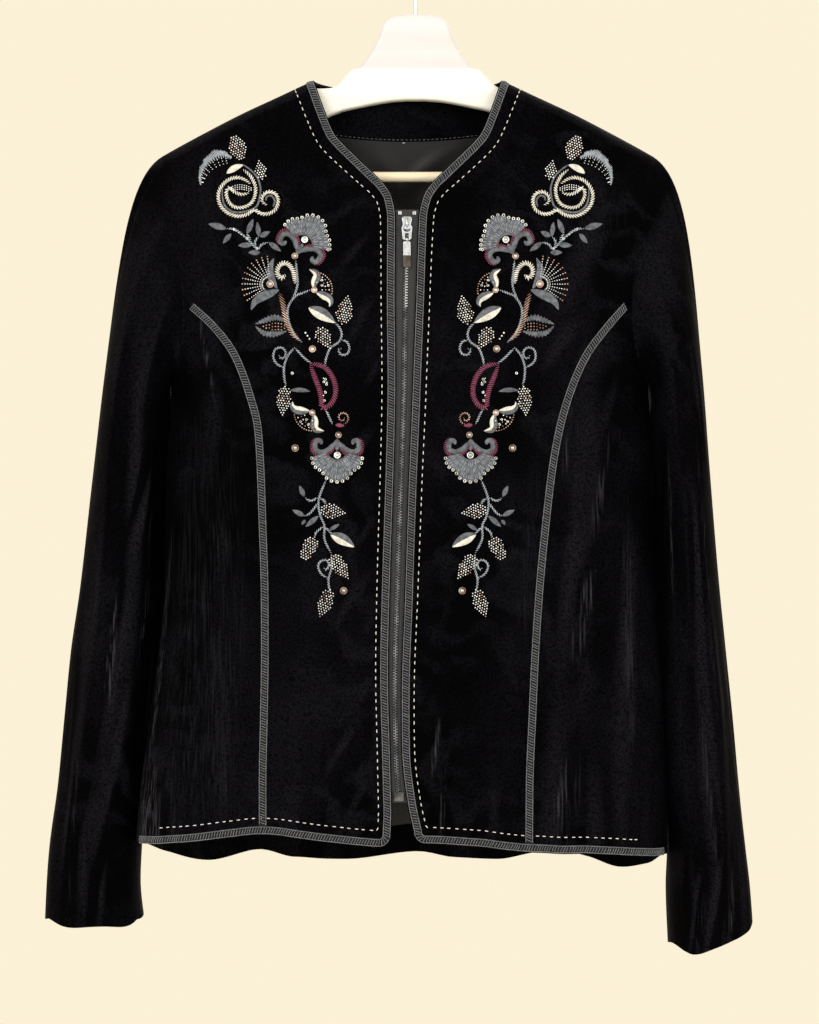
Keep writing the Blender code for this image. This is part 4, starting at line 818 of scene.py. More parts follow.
def fold_light_share(points, tube):
    """Painted fold light: how much the cloth leans towards the light from its wider form, 0.5 being level
    and 1 most.
    """
    down = np.gradient(points, axis=0)
    ends = "wrap" if tube else "edge"
    padded = np.pad(points, ((0, 0), (1, 1), (0, 0)), mode=ends)
    away = unit(np.cross(padded[:, 2:] - padded[:, :-2], down) + 1e-12)
    middle = points.mean(axis=(0, 1) if not tube else 1, keepdims=True)
    away = away * np.sign(np.sum(away * (points - middle * [1, 0, 1]), axis=-1).mean())
    wide = away
    for _ in range(FOLD_LIGHT_REACH):
        wide = np.pad(wide, ((1, 1), (0, 0), (0, 0)), mode="edge")
        wide = (wide[:-2] + 2 * wide[1:-1] + wide[2:]) / 4
        wide = np.pad(wide, ((0, 0), (1, 1), (0, 0)), mode=ends)
        wide = (wide[:, :-2] + 2 * wide[:, 1:-1] + wide[:, 2:]) / 4
    return np.clip(0.5 + FOLD_LIGHT_GAIN * ((away - wide) @ PAINTED_LIGHT_WAY), 0, 1)


def cloth(name, points, slot, lift=0.0, thick=VELVET, streaks=None):
    """A wall on the body's surface: its outer face is lifted off it, or sunk with a minus sign."""
    away = outward(points)
    return wall(name, points + lift * away, points + (lift - thick) * away, slot, streaks=streaks)


def facing(x, z, back=False):
    """Points on the body and the cloth's true outward direction there, creases included."""
    h = 2e-4
    wide = on_body(x + h, z, back) - on_body(x - h, z, back)
    tall = on_body(x, z + h, back) - on_body(x, z - h, back)
    away = unit(np.cross(wide, tall))
    return on_body(x, z, back), -away if back else away


class Line:
    """A line on the cloth from places in x and z, measured by its true length."""

    def __init__(self, places, back=False):
        self.places = np.asarray(places, float)
        self.back = back
        spots = on_body(self.places[:, 0], self.places[:, 1], back)
        self.lengths = run_lengths(spots)
        self.length = self.lengths[-1]

    def spots(self, along):
        x = np.interp(along, self.lengths, self.places[:, 0])
        z = np.interp(along, self.lengths, self.places[:, 1])
        return facing(x, z, self.back)

    def frames(self, along):
        """Place, direction along, direction across and outward direction at each length."""
        spot, away = self.spots(along)
        tangent = unit(self.spots(along + 4e-4)[0] - self.spots(along - 4e-4)[0])
        across = unit(np.cross(away, tangent))
        return spot, tangent, across, away

    def laid(self, along, shape):
        """Copies of a shape, given as along, across and up, at each length of the line."""
        shape = np.asarray(shape, float)
        spot, tangent, across, away = (part[:, None] for part in self.frames(along))
        return spot + tangent * shape[:, :1] + across * shape[:, 1:2] + away * shape[:, 2:]


def tube(path, radius, sides=6, flat=1.0, across=None):
    """Points and faces of a round bar along a path, pressed flat by a share."""
    path = np.asarray(path, float)
    radius = np.broadcast_to(np.asarray(radius, float), (len(path),))
    ahead = unit(np.gradient(path, axis=0))
    if across is None:
        across = np.cross(np.array([0, 0, 1.0]), ahead)
        across = unit(np.where(np.linalg.norm(across, axis=1, keepdims=True) < 1e-6, [1.0, 0, 0], across))
    over = np.cross(ahead, across)
    turn = np.linspace(0, 2 * math.pi, sides, endpoint=False)
    ring = np.cos(turn)[:, None] * across[:, None] + flat * np.sin(turn)[:, None] * over[:, None]
    points = path[:, None] + radius[:, None, None] * ring
    ends = [tuple(range(sides))[::-1], tuple((len(path) - 1) * sides + k for k in range(sides))]
    caps = [(end[0], end[k], end[k + 1]) for end in ends for k in range(1, sides - 1)]
    return points.reshape(-1, 3), grid_faces(len(path), sides, tube=True), np.array(caps)


def curve(points, step):
    """A smooth line through a few points, with a new point about every step."""
    points = np.asarray(points, float)
    padded = np.vstack([2 * points[0] - points[1], points, 2 * points[-1] - points[-2]])
    runs = []
    for a, b, c, d in zip(padded, padded[1:], padded[2:], padded[3:]):
        count = max(2, int(np.ceil(np.linalg.norm(c - b) / step)))
        t = np.linspace(0, 1, count, endpoint=False)[:, None]
        runs.append(b + 0.5 * ((c - a) * t + (2 * a - 5 * b + 4 * c - d) * t ** 2
                               + (3 * b - a - 3 * c + d) * t ** 3))
    return np.vstack(runs + [points[-1:]])


def tapered(count, thick, ends=0.25, share=0.2):
    """Radii along a bar that thins towards both ends."""
    t = np.linspace(0, 1, count)
    near = np.clip(np.minimum(t, 1 - t) / share, 0, 1)
    return thick * (ends + (1 - ends) * np.sqrt(near))


def ball(segments=8, rings=5):
    """A round bead of radius 1."""
    lat = np.linspace(-math.pi / 2, math.pi / 2, rings + 1)[1:-1]
    lon = np.linspace(0, 2 * math.pi, segments, endpoint=False)
    rows = [[math.cos(a) * math.cos(o), math.cos(a) * math.sin(o), math.sin(a)] for a in lat for o in lon]
    points = np.array(rows + [[0, 0, -1], [0, 0, 1]])
    count = len(rows)
    caps = [(count, (k + 1) % segments, k) for k in range(segments)]
    last = count - segments
    caps += [(count + 1, last + k, last + (k + 1) % segments) for k in range(segments)]
    return points, grid_faces(rings - 1, segments, tube=True), np.array(caps)


# Materials

class Look:
    """A material with one Principled shader, and the patterns that are joined to it."""

    def __init__(self, name, colour, rough, metallic=0.0, specular=0.5):
        self.made = bpy.data.materials.new(name)
        self.made.use_nodes = True
        self.nodes, self.links = self.made.node_tree.nodes, self.made.node_tree.links
        self.shader = self.nodes["Principled BSDF"]
        self.set(Base_Color=(*colour, 1), Roughness=rough, Metallic=metallic, Specular_IOR_Level=specular)

    def set(self, **values):
        for word, value in values.items():
            self.shader.inputs[word.replace("_", " ")].default_value = value

    def join(self, value, socket):
        """Links a socket to another, or gives it a plain number or colour."""
        if isinstance(value, bpy.types.NodeSocket):
            self.links.new(value, socket)
        else:
            socket.default_value = (*value, 1) if isinstance(value, tuple) else value

    def colour(self, source):
        self.links.new(source, self.shader.inputs["Base Color"])

    def place(self):
        return self.nodes.new("ShaderNodeTexCoord").outputs["Object"]

    def attribute(self, name):
        made = self.nodes.new("ShaderNodeAttribute")
        made.attribute_name = name
        return made.outputs["Fac"]

    def noise(self, scale, detail=3.0, stretch=(1, 1, 1)):
        mapping = self.nodes.new("ShaderNodeMapping")
        mapping.inputs["Scale"].default_value = stretch
        self.links.new(self.place(), mapping.inputs["Vector"])
        made = self.nodes.new("ShaderNodeTexNoise")
        made.inputs["Scale"].default_value = scale
        made.inputs["Detail"].default_value = detail
        self.links.new(mapping.outputs["Vector"], made.inputs["Vector"])
        return made.outputs["Fac"]

    def wave(self, direction, *values):
        made = self.nodes.new("ShaderNodeTexWave")
        made.wave_type = "BANDS"
        made.bands_direction = direction
        for word, value in zip(("Scale", "Distortion", "Detail", "Detail Scale"), values):
            made.inputs[word].default_value = value
        self.links.new(self.place(), made.inputs["Vector"])
        return made.outputs["Fac"]

    def ramp(self, source, *stops):
        """Colours or greys by the source's value."""
        made = self.nodes.new("ShaderNodeValToRGB")
        band = made.color_ramp
        while len(band.elements) < len(stops):
            band.elements.new(0.5)
        for element, (place, tone) in zip(band.elements, stops):
            element.position = place
            element.color = (*tone, 1) if isinstance(tone, tuple) else (tone, tone, tone, 1)
        self.links.new(source, made.inputs["Fac"])
        return made.outputs["Color"]

    def mixed(self, share, first, second, blend="MIX"):
        made = self.nodes.new("ShaderNodeMix")
        made.data_type = "RGBA"
        made.blend_type = blend
        for value, socket in ((share, made.inputs[0]), (first, made.inputs[6]), (second, made.inputs[7])):
            self.join(value, socket)
        return made.outputs[2]

    def math(self, operation, first, second):
        made = self.nodes.new("ShaderNodeMath")
        made.operation = operation
        self.join(first, made.inputs[0])
        self.join(second, made.inputs[1])
        return made.outputs[0]

    def bump(self, source, strength, distance):
        made = self.nodes.new("ShaderNodeBump")
        made.inputs["Strength"].default_value = strength
        made.inputs["Distance"].default_value = distance
        self.links.new(source, made.inputs["Height"])
        self.links.new(made.outputs["Normal"], self.shader.inputs["Normal"])


def velvet():
    """Black pile with painted light in its colour: painted sheen in broad patches, painted highlights on
    fold sides that face the light and along soft wrinkles, and paler hairs where it is crushed.
    """
    look = Look("Black velvet", (0.002, 0.002, 0.0025), 0.62, specular=0.012)
    # Painted sheen: broad random patches of paler, bluer pile.
    dark = look.ramp(look.noise(1, 5, (11, 11, 5)), (0.36, (0.0006, 0.0005, 0.0009)),
                     (0.50, (0.0014, 0.0011, 0.0020)), (0.72, (0.0046, 0.0042, 0.0066)))
    # Painted light: fold sides that lean towards the light are paler.
    lit = look.ramp(look.attribute("fold_light"), (0.51, 0), (1.0, 1))
    dark = look.mixed(lit, dark, (0.0092, 0.0085, 0.0120))
    # Painted highlights along soft diagonal wrinkles, in random patches.
    ridge = look.ramp(look.wave("DIAGONAL", 7, 15, 3, 2.2), (0.40, 0), (1.0, 1))
    patches = look.ramp(look.noise(12), (0.42, 0), (0.66, 0.85))
    dark = look.mixed(look.math("MULTIPLY", ridge, patches), dark, (0.0062, 0.0058, 0.0084))
    grain = look.ramp(look.noise(560, 2), (0.34, 0.20), (0.62, 1.0))
    dark = look.mixed(1.0, dark, grain, "MULTIPLY")
    hairs = look.ramp(look.noise(1, 3, (620, 620, 21)), (0.47, 0), (0.70, 1))
    share = look.math("MULTIPLY", look.attribute("crush"), hairs)
    look.colour(look.mixed(share, dark, (0.062, 0.061, 0.076)))
    look.set(Sheen_Weight=0.010, Sheen_Roughness=0.30, Sheen_Tint=(0.72, 0.68, 0.86, 1))
    height = look.mixed(0.35, look.noise(420, 4), look.noise(60, 3, (1.6, 1.6, 0.5)))
    look.bump(look.mixed(0.3, height, ridge), 0.6, 0.0014)
    return look.made


def satin():
    look = Look("Grey satin lining", (0.012, 0.012, 0.013), 0.36, specular=0.18)
    soft = look.noise(14, 2, (1.4, 1.4, 0.6))
    look.colour(look.ramp(soft, (0.3, (0.0080, 0.0080, 0.0088)), (0.7, (0.0165, 0.0165, 0.0180))))
    look.set(Sheen_Weight=0.1)
    look.bump(look.noise(900, 2, (1, 1, 3)), 0.12, 0.0003)
    return look.made


def thread(name, colour, rough=0.55, spread=0.35):
    """Stitched yarn: the colour wanders a little, with fine fibres across it."""
    look = Look(name, colour, rough, specular=0.35)
    low = tuple(value * (1 - spread) for value in colour)
    high = tuple(min(value * (1 + spread), 1) for value in colour)
    look.colour(look.ramp(look.noise(320), (0.3, low), (0.7, high)))
    look.set(Sheen_Weight=0.15)
    look.bump(look.noise(2600, 2), 0.35, 0.0002)
    return look.made


def woven():
    look = Look("Woven zip tape", (0.030, 0.030, 0.034), 0.8, specular=0.25)
    rows = look.wave("Z", 380, 1.2)
    look.colour(look.ramp(rows, (0.2, (0.018, 0.018, 0.020)), (0.8, (0.060, 0.060, 0.066))))
    look.bump(rows, 0.5, 0.0003)
    return look.made


def metal(name, low, high, rough):
    """Bare metal whose tone and polish wander a little."""
    look = Look(name, high, rough, 1.0)
    look.colour(look.ramp(look.noise(90), (0.35, low), (0.65, high)))
    worn = look.ramp(look.noise(300), (0.3, rough * 0.75), (0.75, rough * 1.5))
    look.links.new(worn, look.shader.inputs["Roughness"])
    return look.made


def wood(name, pale, dark, joint=None):
    """Pale wood with its grain along X; above the joint's height it is a little cooler."""
    look = Look(name, pale, 0.42, specular=0.45)
    grain = look.noise(18, 6, (0.35, 3, 6))
    colour = look.ramp(grain, (0.35, dark), (0.62, pale))
    if joint is not None:
        parts = look.nodes.new("ShaderNodeSeparateXYZ")
        look.links.new(look.place(), parts.inputs["Vector"])
        above = look.math("GREATER_THAN", parts.outputs["Z"], joint)
        colour = look.mixed(above, colour, look.mixed(1.0, colour, (0.79, 0.768, 0.855), "MULTIPLY"))
    look.colour(colour)
    look.bump(grain, 0.12, 0.0004)
    return look.made


BLOCK_Z = -0.1148         # the hanger's neck block is cooler in tone above this
MATERIALS = {
    "velvet": velvet(),
    "lining": satin(),
    "braid": thread("Dark braid", (0.0018, 0.0018, 0.0022), 0.85),
    "braid_thread": thread("Grey braid thread", (0.168, 0.176, 0.208), 0.6),
    "zip_tape": woven(),
    "zip_metal": metal("Zip metal", (0.42, 0.44, 0.48), (0.64, 0.67, 0.73), 0.24),
    "zip_dark": metal("Dark zip metal", (0.070, 0.073, 0.082), (0.215, 0.225, 0.250), 0.24),
    "hanger_wood": wood("Pale hanger wood", (0.90, 0.88, 0.83), (0.84, 0.81, 0.74), BLOCK_Z),
    "bar_wood": wood("Bare bar wood", (0.98, 0.87, 0.67), (0.90, 0.75, 0.53)),
    "hook_steel": metal("Hook wire", (0.60, 0.60, 0.58), (0.78, 0.78, 0.76), 0.24),
    "stitch": thread("White stitching", (0.76, 0.74, 0.69), 0.6, 0.12),
    "thread_grey": thread("Blue grey thread", (0.094, 0.102, 0.124), 0.5, 0.55),
    "thread_pale": thread("Pale blue thread", (0.29, 0.325, 0.38), 0.45, 0.35),
    "thread_cream": thread("Cream thread", (0.66, 0.635, 0.57), 0.45, 0.25),
    "thread_magenta": thread("Dusky magenta thread", (0.185, 0.030, 0.078), 0.5, 0.4),
    "bead_silver": metal("Silver beads", (0.70, 0.71, 0.74), (0.98, 0.99, 1.00), 0.26),
    "bead_bronze": metal("Bronze beads", (0.21, 0.130, 0.100), (0.58, 0.41, 0.35), 0.22),
    "sequin": metal("Silver sequins", (0.36, 0.36, 0.35), (0.80, 0.80, 0.77), 0.16),
}


# Cloth

def sleeve(side):
    points = sleeve_points(side)
    shown = points[1:]
    down = np.gradient(shown, axis=0)
    around = np.roll(shown, -1, axis=1) - np.roll(shown, 1, axis=1)
    away = unit(side * np.cross(around, down))
    loop, pit = armhole_loop(side)
    angle = loop_angles(loop, pit)
    low = ((1 - np.cos(angle)) / 2)[:, None]
    away[0] = unit(outward(loop) * (1 - low) + away[0] * low)
    away = np.concatenate([outward(loop)[None], away])
    streaks = crushed(ARM_STREAKS[side], angle, points[..., 2], round_arm)
    name = "sleeve_" + SIDE_NAMES[side]
    made = wall(name + "_velvet", points, points - VELVET * away, "velvet", tube=True, streaks=streaks)
    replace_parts(made, name)
    return made


def panel(name, points, streaks):
    mask = crushed(streaks, points[..., 0], points[..., 2])
    made = cloth(name + "_velvet", points, "velvet", streaks=mask)
    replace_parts(made, name)
    return made


def facing_low(x):
    """Height of the seam between the back neck facing and the lining."""
    return FACING_LOW_Z + FACING_RISE * (x / FACING_SPAN) ** 2


def inside_back(name, rows, reach, slot, folds=()):
    """A layer on the inside of the back, as many columns each way from its middle as reach says."""
    middle = rows.shape[1] // 2
    part = rows[:, middle - reach:middle + reach + 1].copy()
    if slot == "velvet":
        part[..., 0] = part[-1, :, 0]
        low = facing_low(part[0, :, 0]) + SEAM_GAP / 2
        high = part[-1, :, 1]
    else:
        low = part[0, :, 1]
        top_x = part[-1, :, 0]
        high = np.minimum(facing_low(top_x), shoulder_z(np.abs(top_x)) - LINING_BELOW) - SEAM_GAP / 2
    share = (part[..., 1] - part[0, :, 1]) / (part[-1, :, 1] - part[0, :, 1])
    part[..., 1] = low + share * (high - low)
    spots = on_body(part[..., 0], part[..., 1], back=True)
    away = outward(spots)
    lift = -(VELVET + LINING_GAP) - relief(folds, part[..., 0], part[..., 1])[..., None]
    made = wall(name + "_cloth", spots + lift * away, spots + (lift - LINING) * away, slot)
    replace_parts(made, name)
    return made


def facing_stitches():
    """The facing's lower edge is sewn down, with one pale tack in the middle."""
    bags = {"thread_grey": Bag(), "stitch": Bag()}
    rows = np.arange(-FACING_STITCH_X, FACING_STITCH_X + 0.0001, FACING_STITCH_PITCH)
    places = [(x, FACING_STITCH_UP, "thread_grey") for x in rows]
    places.append((*TACK, "stitch"))
    for x, above, slot in places:
        xs = x + np.array([-0.0012, -0.0006, 0.0006, 0.0012])
        spots = on_body(xs, facing_low(xs) + above, back=True)
        deep = VELVET + LINING_GAP + LINING + np.array([-0.0004, 0.0002, 0.0002, -0.0004])
        bags[slot].add(*tube(spots - deep[:, None] * outward(spots), FACING_THREAD, 5))
    return [piece("facing_" + slot, *bag.gathered(), slot) for slot, bag in bags.items()]


LINING_FOLDS = table(Fold,
    (0.07, -0.175, 0.01, -0.235, 0.02, 0.0034), (0.04, -0.17, -0.01, -0.215, 0.014, 0.0024),
    (-0.06, -0.18, -0.006, -0.25, 0.018, 0.003), (-0.024, -0.17, 0.0, -0.225, 0.012, 0.002),
    (-0.08, -0.32, -0.07, -0.78, 0.03, 0.004), (0.05, -0.3, 0.066, -0.78, 0.03, 0.004),
    (-0.01, -0.42, 0.0, -0.8, 0.026, 0.0036),
)


# Braid and stitches

def edge_places(side, inset):
    """Places along the neck, the front edge, the lower corner and the hem, set in from the cloth's edge."""
    corner_x = front_edge_x(side, CORNER_Z) + side * CORNER_RADIUS
    low = float(front_hem(corner_x))
    z = np.linspace(NECK_Z - BRAID_START, low + CORNER_RADIUS, 420)
    down = np.stack([front_edge_x(side, z), z], axis=1)
    turn = np.linspace(0, math.pi / 2, 14)[1:]
    middle = np.array([down[-1, 0] + side * CORNER_RADIUS, low + CORNER_RADIUS])
    bend = middle + CORNER_RADIUS * np.stack([-side * np.cos(turn), -np.sin(turn)], axis=1)
    end = side * (width_at[side](SIDE_HEM_Z) - HEM_BRAID_END)
    x = np.linspace(bend[-1, 0], end, 160)[1:]
    line = np.concatenate([down, bend, np.stack([x, front_hem(x)], axis=1)])
    return set_in(line, inset, side)


def princess_places(side):
    z = np.linspace(JUNCTION_Z - PRINCESS_START, princess_low(side) + PRINCESS_END, 260)
    return np.stack([side * princess_x[side](z), z], axis=1)


def back_neck_places():
    x = np.linspace(-BACK_BRAID_X, BACK_BRAID_X, 120)
    dip = back_neck_dip(x)
    return np.stack([x, NECK_Z - dip - TRIM_INSET - TRIM_WIDTH / 2], axis=1)


STRIP = np.array([(-0.00365, 0.0002), (-0.0034, 0.0008), (-0.0018, 0.0010), (0.0018, 0.0010),
                  (0.0034, 0.0008), (0.00365, 0.0002), (0.0018, 0.0001), (-0.0018, 0.0001)])
CROSSING = [(-0.0010, -0.0026, 0.0007), (-0.0005, -0.0014, 0.0014), (0.0, 0.0, 0.0016),
            (0.0005, 0.0014, 0.0014), (0.0010, 0.0026, 0.0007)]
CHAIN = [(-0.0015, 0.0034, 0.0004), (-0.0005, 0.0029, 0.0012), (0.0006, 0.0031, 0.0013),
         (0.0016, 0.0036, 0.0005)]
STITCH = [(-0.5, 0, -0.0003), (-0.36, 0, 0.0004), (0.0, 0, 0.0008), (0.36, 0, 0.0004), (0.5, 0, -0.0003)]


def braid(name, places, node, back=False):
    """A dark strip with grey threads across it and a chain along each edge."""
    line = Line(places, back)
    along = np.linspace(STRIP_TIP, line.length - STRIP_TIP, max(8, int(line.length / STRIP_STEP)))
    spot, _, across, away = (part[:, None] for part in line.frames(along))
    points = spot + across * STRIP[:, :1] * BRAID_WIDE + away * STRIP[:, 1:]
    sides = len(STRIP)
    last = (len(along) - 1) * sides
    caps = [(0, k + 1, k) for k in range(1, sides - 1)]
    caps += [(last, last + k, last + k + 1) for k in range(1, sides - 1)]
    faces = {4: grid_faces(len(along), sides, tube=True), 3: np.array(caps)}
    strip = piece(name + "_strip", points.reshape(-1, 3), faces, "braid", sharp=40)
    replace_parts(strip, node)
    bag = Bag()
    along = np.arange(THREAD_TIP, line.length - THREAD_TIP, THREAD_PITCH)
    along = along + RANDOM.normal(0, THREAD_WANDER, len(along))
    shape, quads, ends = tube(np.array(CROSSING) * [1, BRAID_WIDE, 1], tapered(5, THREAD_THICK * 1.15, 0.7),
                              5)
    bag.add(line.laid(along, shape), quads, ends)
    for turn in (1, -1):
        chain, quads, ends = tube(np.array(CHAIN) * [1, turn * BRAID_WIDE, 1],
                                  tapered(4, THREAD_THICK * 1.25, 0.6), 5)
        bag.add(line.laid(along + 0.0004 * turn, chain), quads, ends)
    threads = piece(name + "_threads", *bag.gathered(), "braid_thread")
    return [strip, threads]


Inset = namedtuple("Inset", "z inset")
STITCH_LINE = table(Inset,
    (-0.76, 0.0112), (-0.62, 0.0106), (-0.48, 0.0112), (-0.3, 0.0116), (-0.235, 0.0126), (-0.19, 0.015),
    (-0.123, 0.0172),
)
HEM_STITCH = 0.0135       # running stitch above the hem
HEM_STITCH_END = 0.022    # from the side seam to its last stitch


def stitch_places(side):
    inset = smooth(STITCH_LINE, "z", "inset")
    z = np.linspace(NECK_Z - STITCH_CLEAR, CORNER_Z, 500)
    edge = np.stack([front_edge_x(side, z), z], axis=1)
    down = set_in(edge, inset(z)[:, None], side)
    down = down[down[:, 1] > front_hem(down[:, 0]) + HEM_STITCH + STITCH_CLEAR]
    x = np.linspace(down[-1, 0] + side * STITCH_CLEAR, side * (width_at[side](SIDE_HEM_Z) - HEM_STITCH_END),
                    160)
    return np.concatenate([down, np.stack([x, front_hem(x) + HEM_STITCH], axis=1)])


def stitches(side):
    line = Line(stitch_places(side))
    along = np.arange(STITCH_TIP, line.length - STITCH_TIP, STITCH_PITCH)
    along = along + RANDOM.normal(0, STITCH_WANDER, len(along))
    shape, quads, ends = tube(np.array(STITCH) * [STITCH_LONG, 1, 1], tapered(5, STITCH_THICK, 0.6), 6)
    bag = Bag()
    bag.add(line.laid(along, shape), quads, ends)
    return piece("running_stitch_" + SIDE_NAMES[side], *bag.gathered(), "stitch")


# Zip

def zip_spots(z, shift=0.0):
    """Places on the front of the tapes, with their outward direction."""
    spots = on_body(centre_shift(z) + shift, z)
    away = outward(spots)
    return spots - (VELVET + TAPE_GAP) * away, away


def zip_tape(side):
    z = np.linspace(ZIP_BOX_Z, ZIP_TOP_Z, 160)[:, None]
    across = np.linspace(SEAM_GAP / 2, TAPE_WIDTH, 22)
    spots = on_body(centre_shift(z) + side * across, z)
    away = outward(spots)
    cord = sum(height * np.exp(-((across - place) / width) ** 2) for place, width, height in TAPE_CORDS)
    top = spots + (cord[None, :, None] - VELVET - TAPE_GAP) * away
    name = "zip_tape_" + SIDE_NAMES[side]
    made = wall(name + "_woven", top, spots - (VELVET + TAPE_GAP + TAPE_THICK) * away, "zip_tape")
    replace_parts(made, name)
    return made


TEETH_LOW_Z = ZIP_BOX_Z + 0.0090
BRIGHT_TEETH_Z = -0.3120   # the left teeth above this are polished by the slider
TEETH_TOP_Z = ZIP_TOP_Z - 0.0052
SLIDER_ROOM = 0.0056      # no teeth this close to the slider's middle
OPEN_TEETH = 0.0010       # the teeth above the slider stand apart by this much on each side
TOOTH = [(0, -0.0006, 0.0008), (0, -0.0002, 0.0009), (0, 0.0008, 0.0009), (0, 0.0016, 0.0008),
         (0, 0.0021, 0.0004)]
TOOTH_RADIUS = (0.0003, 0.0006, 0.0007, 0.0007, 0.0004)


def zip_teeth(side):
    heights = np.arange(TEETH_LOW_Z, TEETH_TOP_Z, TOOTH_PITCH) + (TOOTH_PITCH / 2 if side == LEFT else 0)
    heights = heights[np.abs(heights - SLIDER_Z) > SLIDER_ROOM]
    spread = np.where(heights > SLIDER_Z, OPEN_TEETH, 0.0)
    spots, away = zip_spots(heights, side * spread)
    up = np.tile(np.array([0, 0, 1.0]), (len(heights), 1))
    across = unit(np.cross(away, up))
    across = across * np.sign(across[:, :1]) * side
    up = unit(up - away * np.sum(up * away, axis=1, keepdims=True))
    shape, quads, ends = tube(TOOTH, TOOTH_RADIUS, 8, flat=0.9)
    points = (spots[:, None] + up[:, None] * shape[:, :1] + across[:, None] * shape[:, 1:2]
              + away[:, None] * shape[:, 2:])
    made = []
    bright = (heights > BRIGHT_TEETH_Z) & ((side == LEFT) | (heights > SLIDER_Z))
    for word, slot, part in (("bright", "zip_metal", bright), ("dark", "zip_dark", ~bright)):
        if not part.any():
            continue
        bag = Bag()
        bag.add(points[part], quads, ends)
        made.append(piece(f"zip_teeth_{word}_{SIDE_NAMES[side]}", *bag.gathered(), slot, sharp=40))
    return made


TAB_END_LONG = 0.0095
TAB_END_THICK = 0.0019
TAB_FOOT = 0.0012         # the tab's middle line runs from points within this height of its lower end
TAB_HEAD = 0.0036         # to points about this far below its top,
TAB_NEAR = 0.0016         # as near to that height as this
TAB_SQUARE = 0.35         # 1 is an ellipse, less is squarer


def tab_end():
    """The dark lower end of the pull tab, a close sleeve round the plain one."""
    points = np.array([spot.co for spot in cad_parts["zip_tab"].data.vertices])
    low, high = points.min(axis=0), points.max(axis=0)
    foot = points[points[:, 2] < low[2] + TAB_FOOT]
    head = points[np.abs(points[:, 2] - high[2] + TAB_HEAD) < TAB_NEAR]
    foot, head = foot.mean(axis=0), head.mean(axis=0)
    half = np.array([(high[0] - low[0]) / 2, TAB_END_THICK / 2])
    turn = np.linspace(0, 2 * math.pi, 24, endpoint=False)
    round_x = squarish(np.cos(turn), TAB_SQUARE)
    round_y = squarish(np.sin(turn), TAB_SQUARE)
    rings = []
    for share, size in ((-0.02, 0.80), (-0.02, 0.94), (0.03, 1.06), (0.95, 1.06), (1.0, 1.0), (1.0, 0.8)):
        z = low[2] + share * TAB_END_LONG
        middle = foot + (head - foot) * (z - foot[2]) / (head[2] - foot[2])
        rings.append(np.stack([middle[0] + half[0] * size * round_x, middle[1] + half[1] * size * round_y,
                               np.full(24, z)], axis=1))
    loops = np.arange(len(rings) * 24).reshape(-1, 24)
    faces = {4: grid_faces(len(rings), 24, tube=True), 24: np.stack([loops[0][::-1], loops[-1]])}
    made = piece("zip_tab_end", np.concatenate(rings), faces, "zip_dark", body="zip_tab", sharp=40,
                 moved=False)
    made.data.materials[0] = metal("Brown tab end", (0.030, 0.026, 0.023), (0.085, 0.074, 0.066), 0.34)
    return made


# Embroidery, drawn on a chart for the wearer's right front and mirrored for the left. Chart places are
# counted in squares, outwards from the front's axis and down from the chart's top.
SQUARE = 0.0008
CHART_TOP_Z = -0.1673
CHART_TALL = 0.000808     # height of a square on the cloth, which hangs a little closer at the bottom
CHART_WIDE = 0.000804
AXIS_TOP_X = -0.0012
AXIS_LEAN = 0.0065        # the axis of the two halves leans this much towards the wearer's right
FAN_SPREAD = 72           # a carnation's fan opens this many degrees to each side
FAN_ROOT = 10             # and starts this many squares from its middle,
FAN_AHEAD = 6             # which is this many squares ahead of the flower's


def on_front(points, side):
    """Chart points, with their height above the cloth in squares, brought onto one of the fronts."""
    z = CHART_TOP_Z - points[:, 1] * CHART_TALL
    x = AXIS_TOP_X - points[:, 0] * CHART_WIDE
    if side == LEFT:
        x = 2 * (AXIS_TOP_X + AXIS_LEAN * (z - CHART_TOP_Z)) - x
    spots, away = facing(x, z)
    return spots + away * (points[:, 2:] * SQUARE)


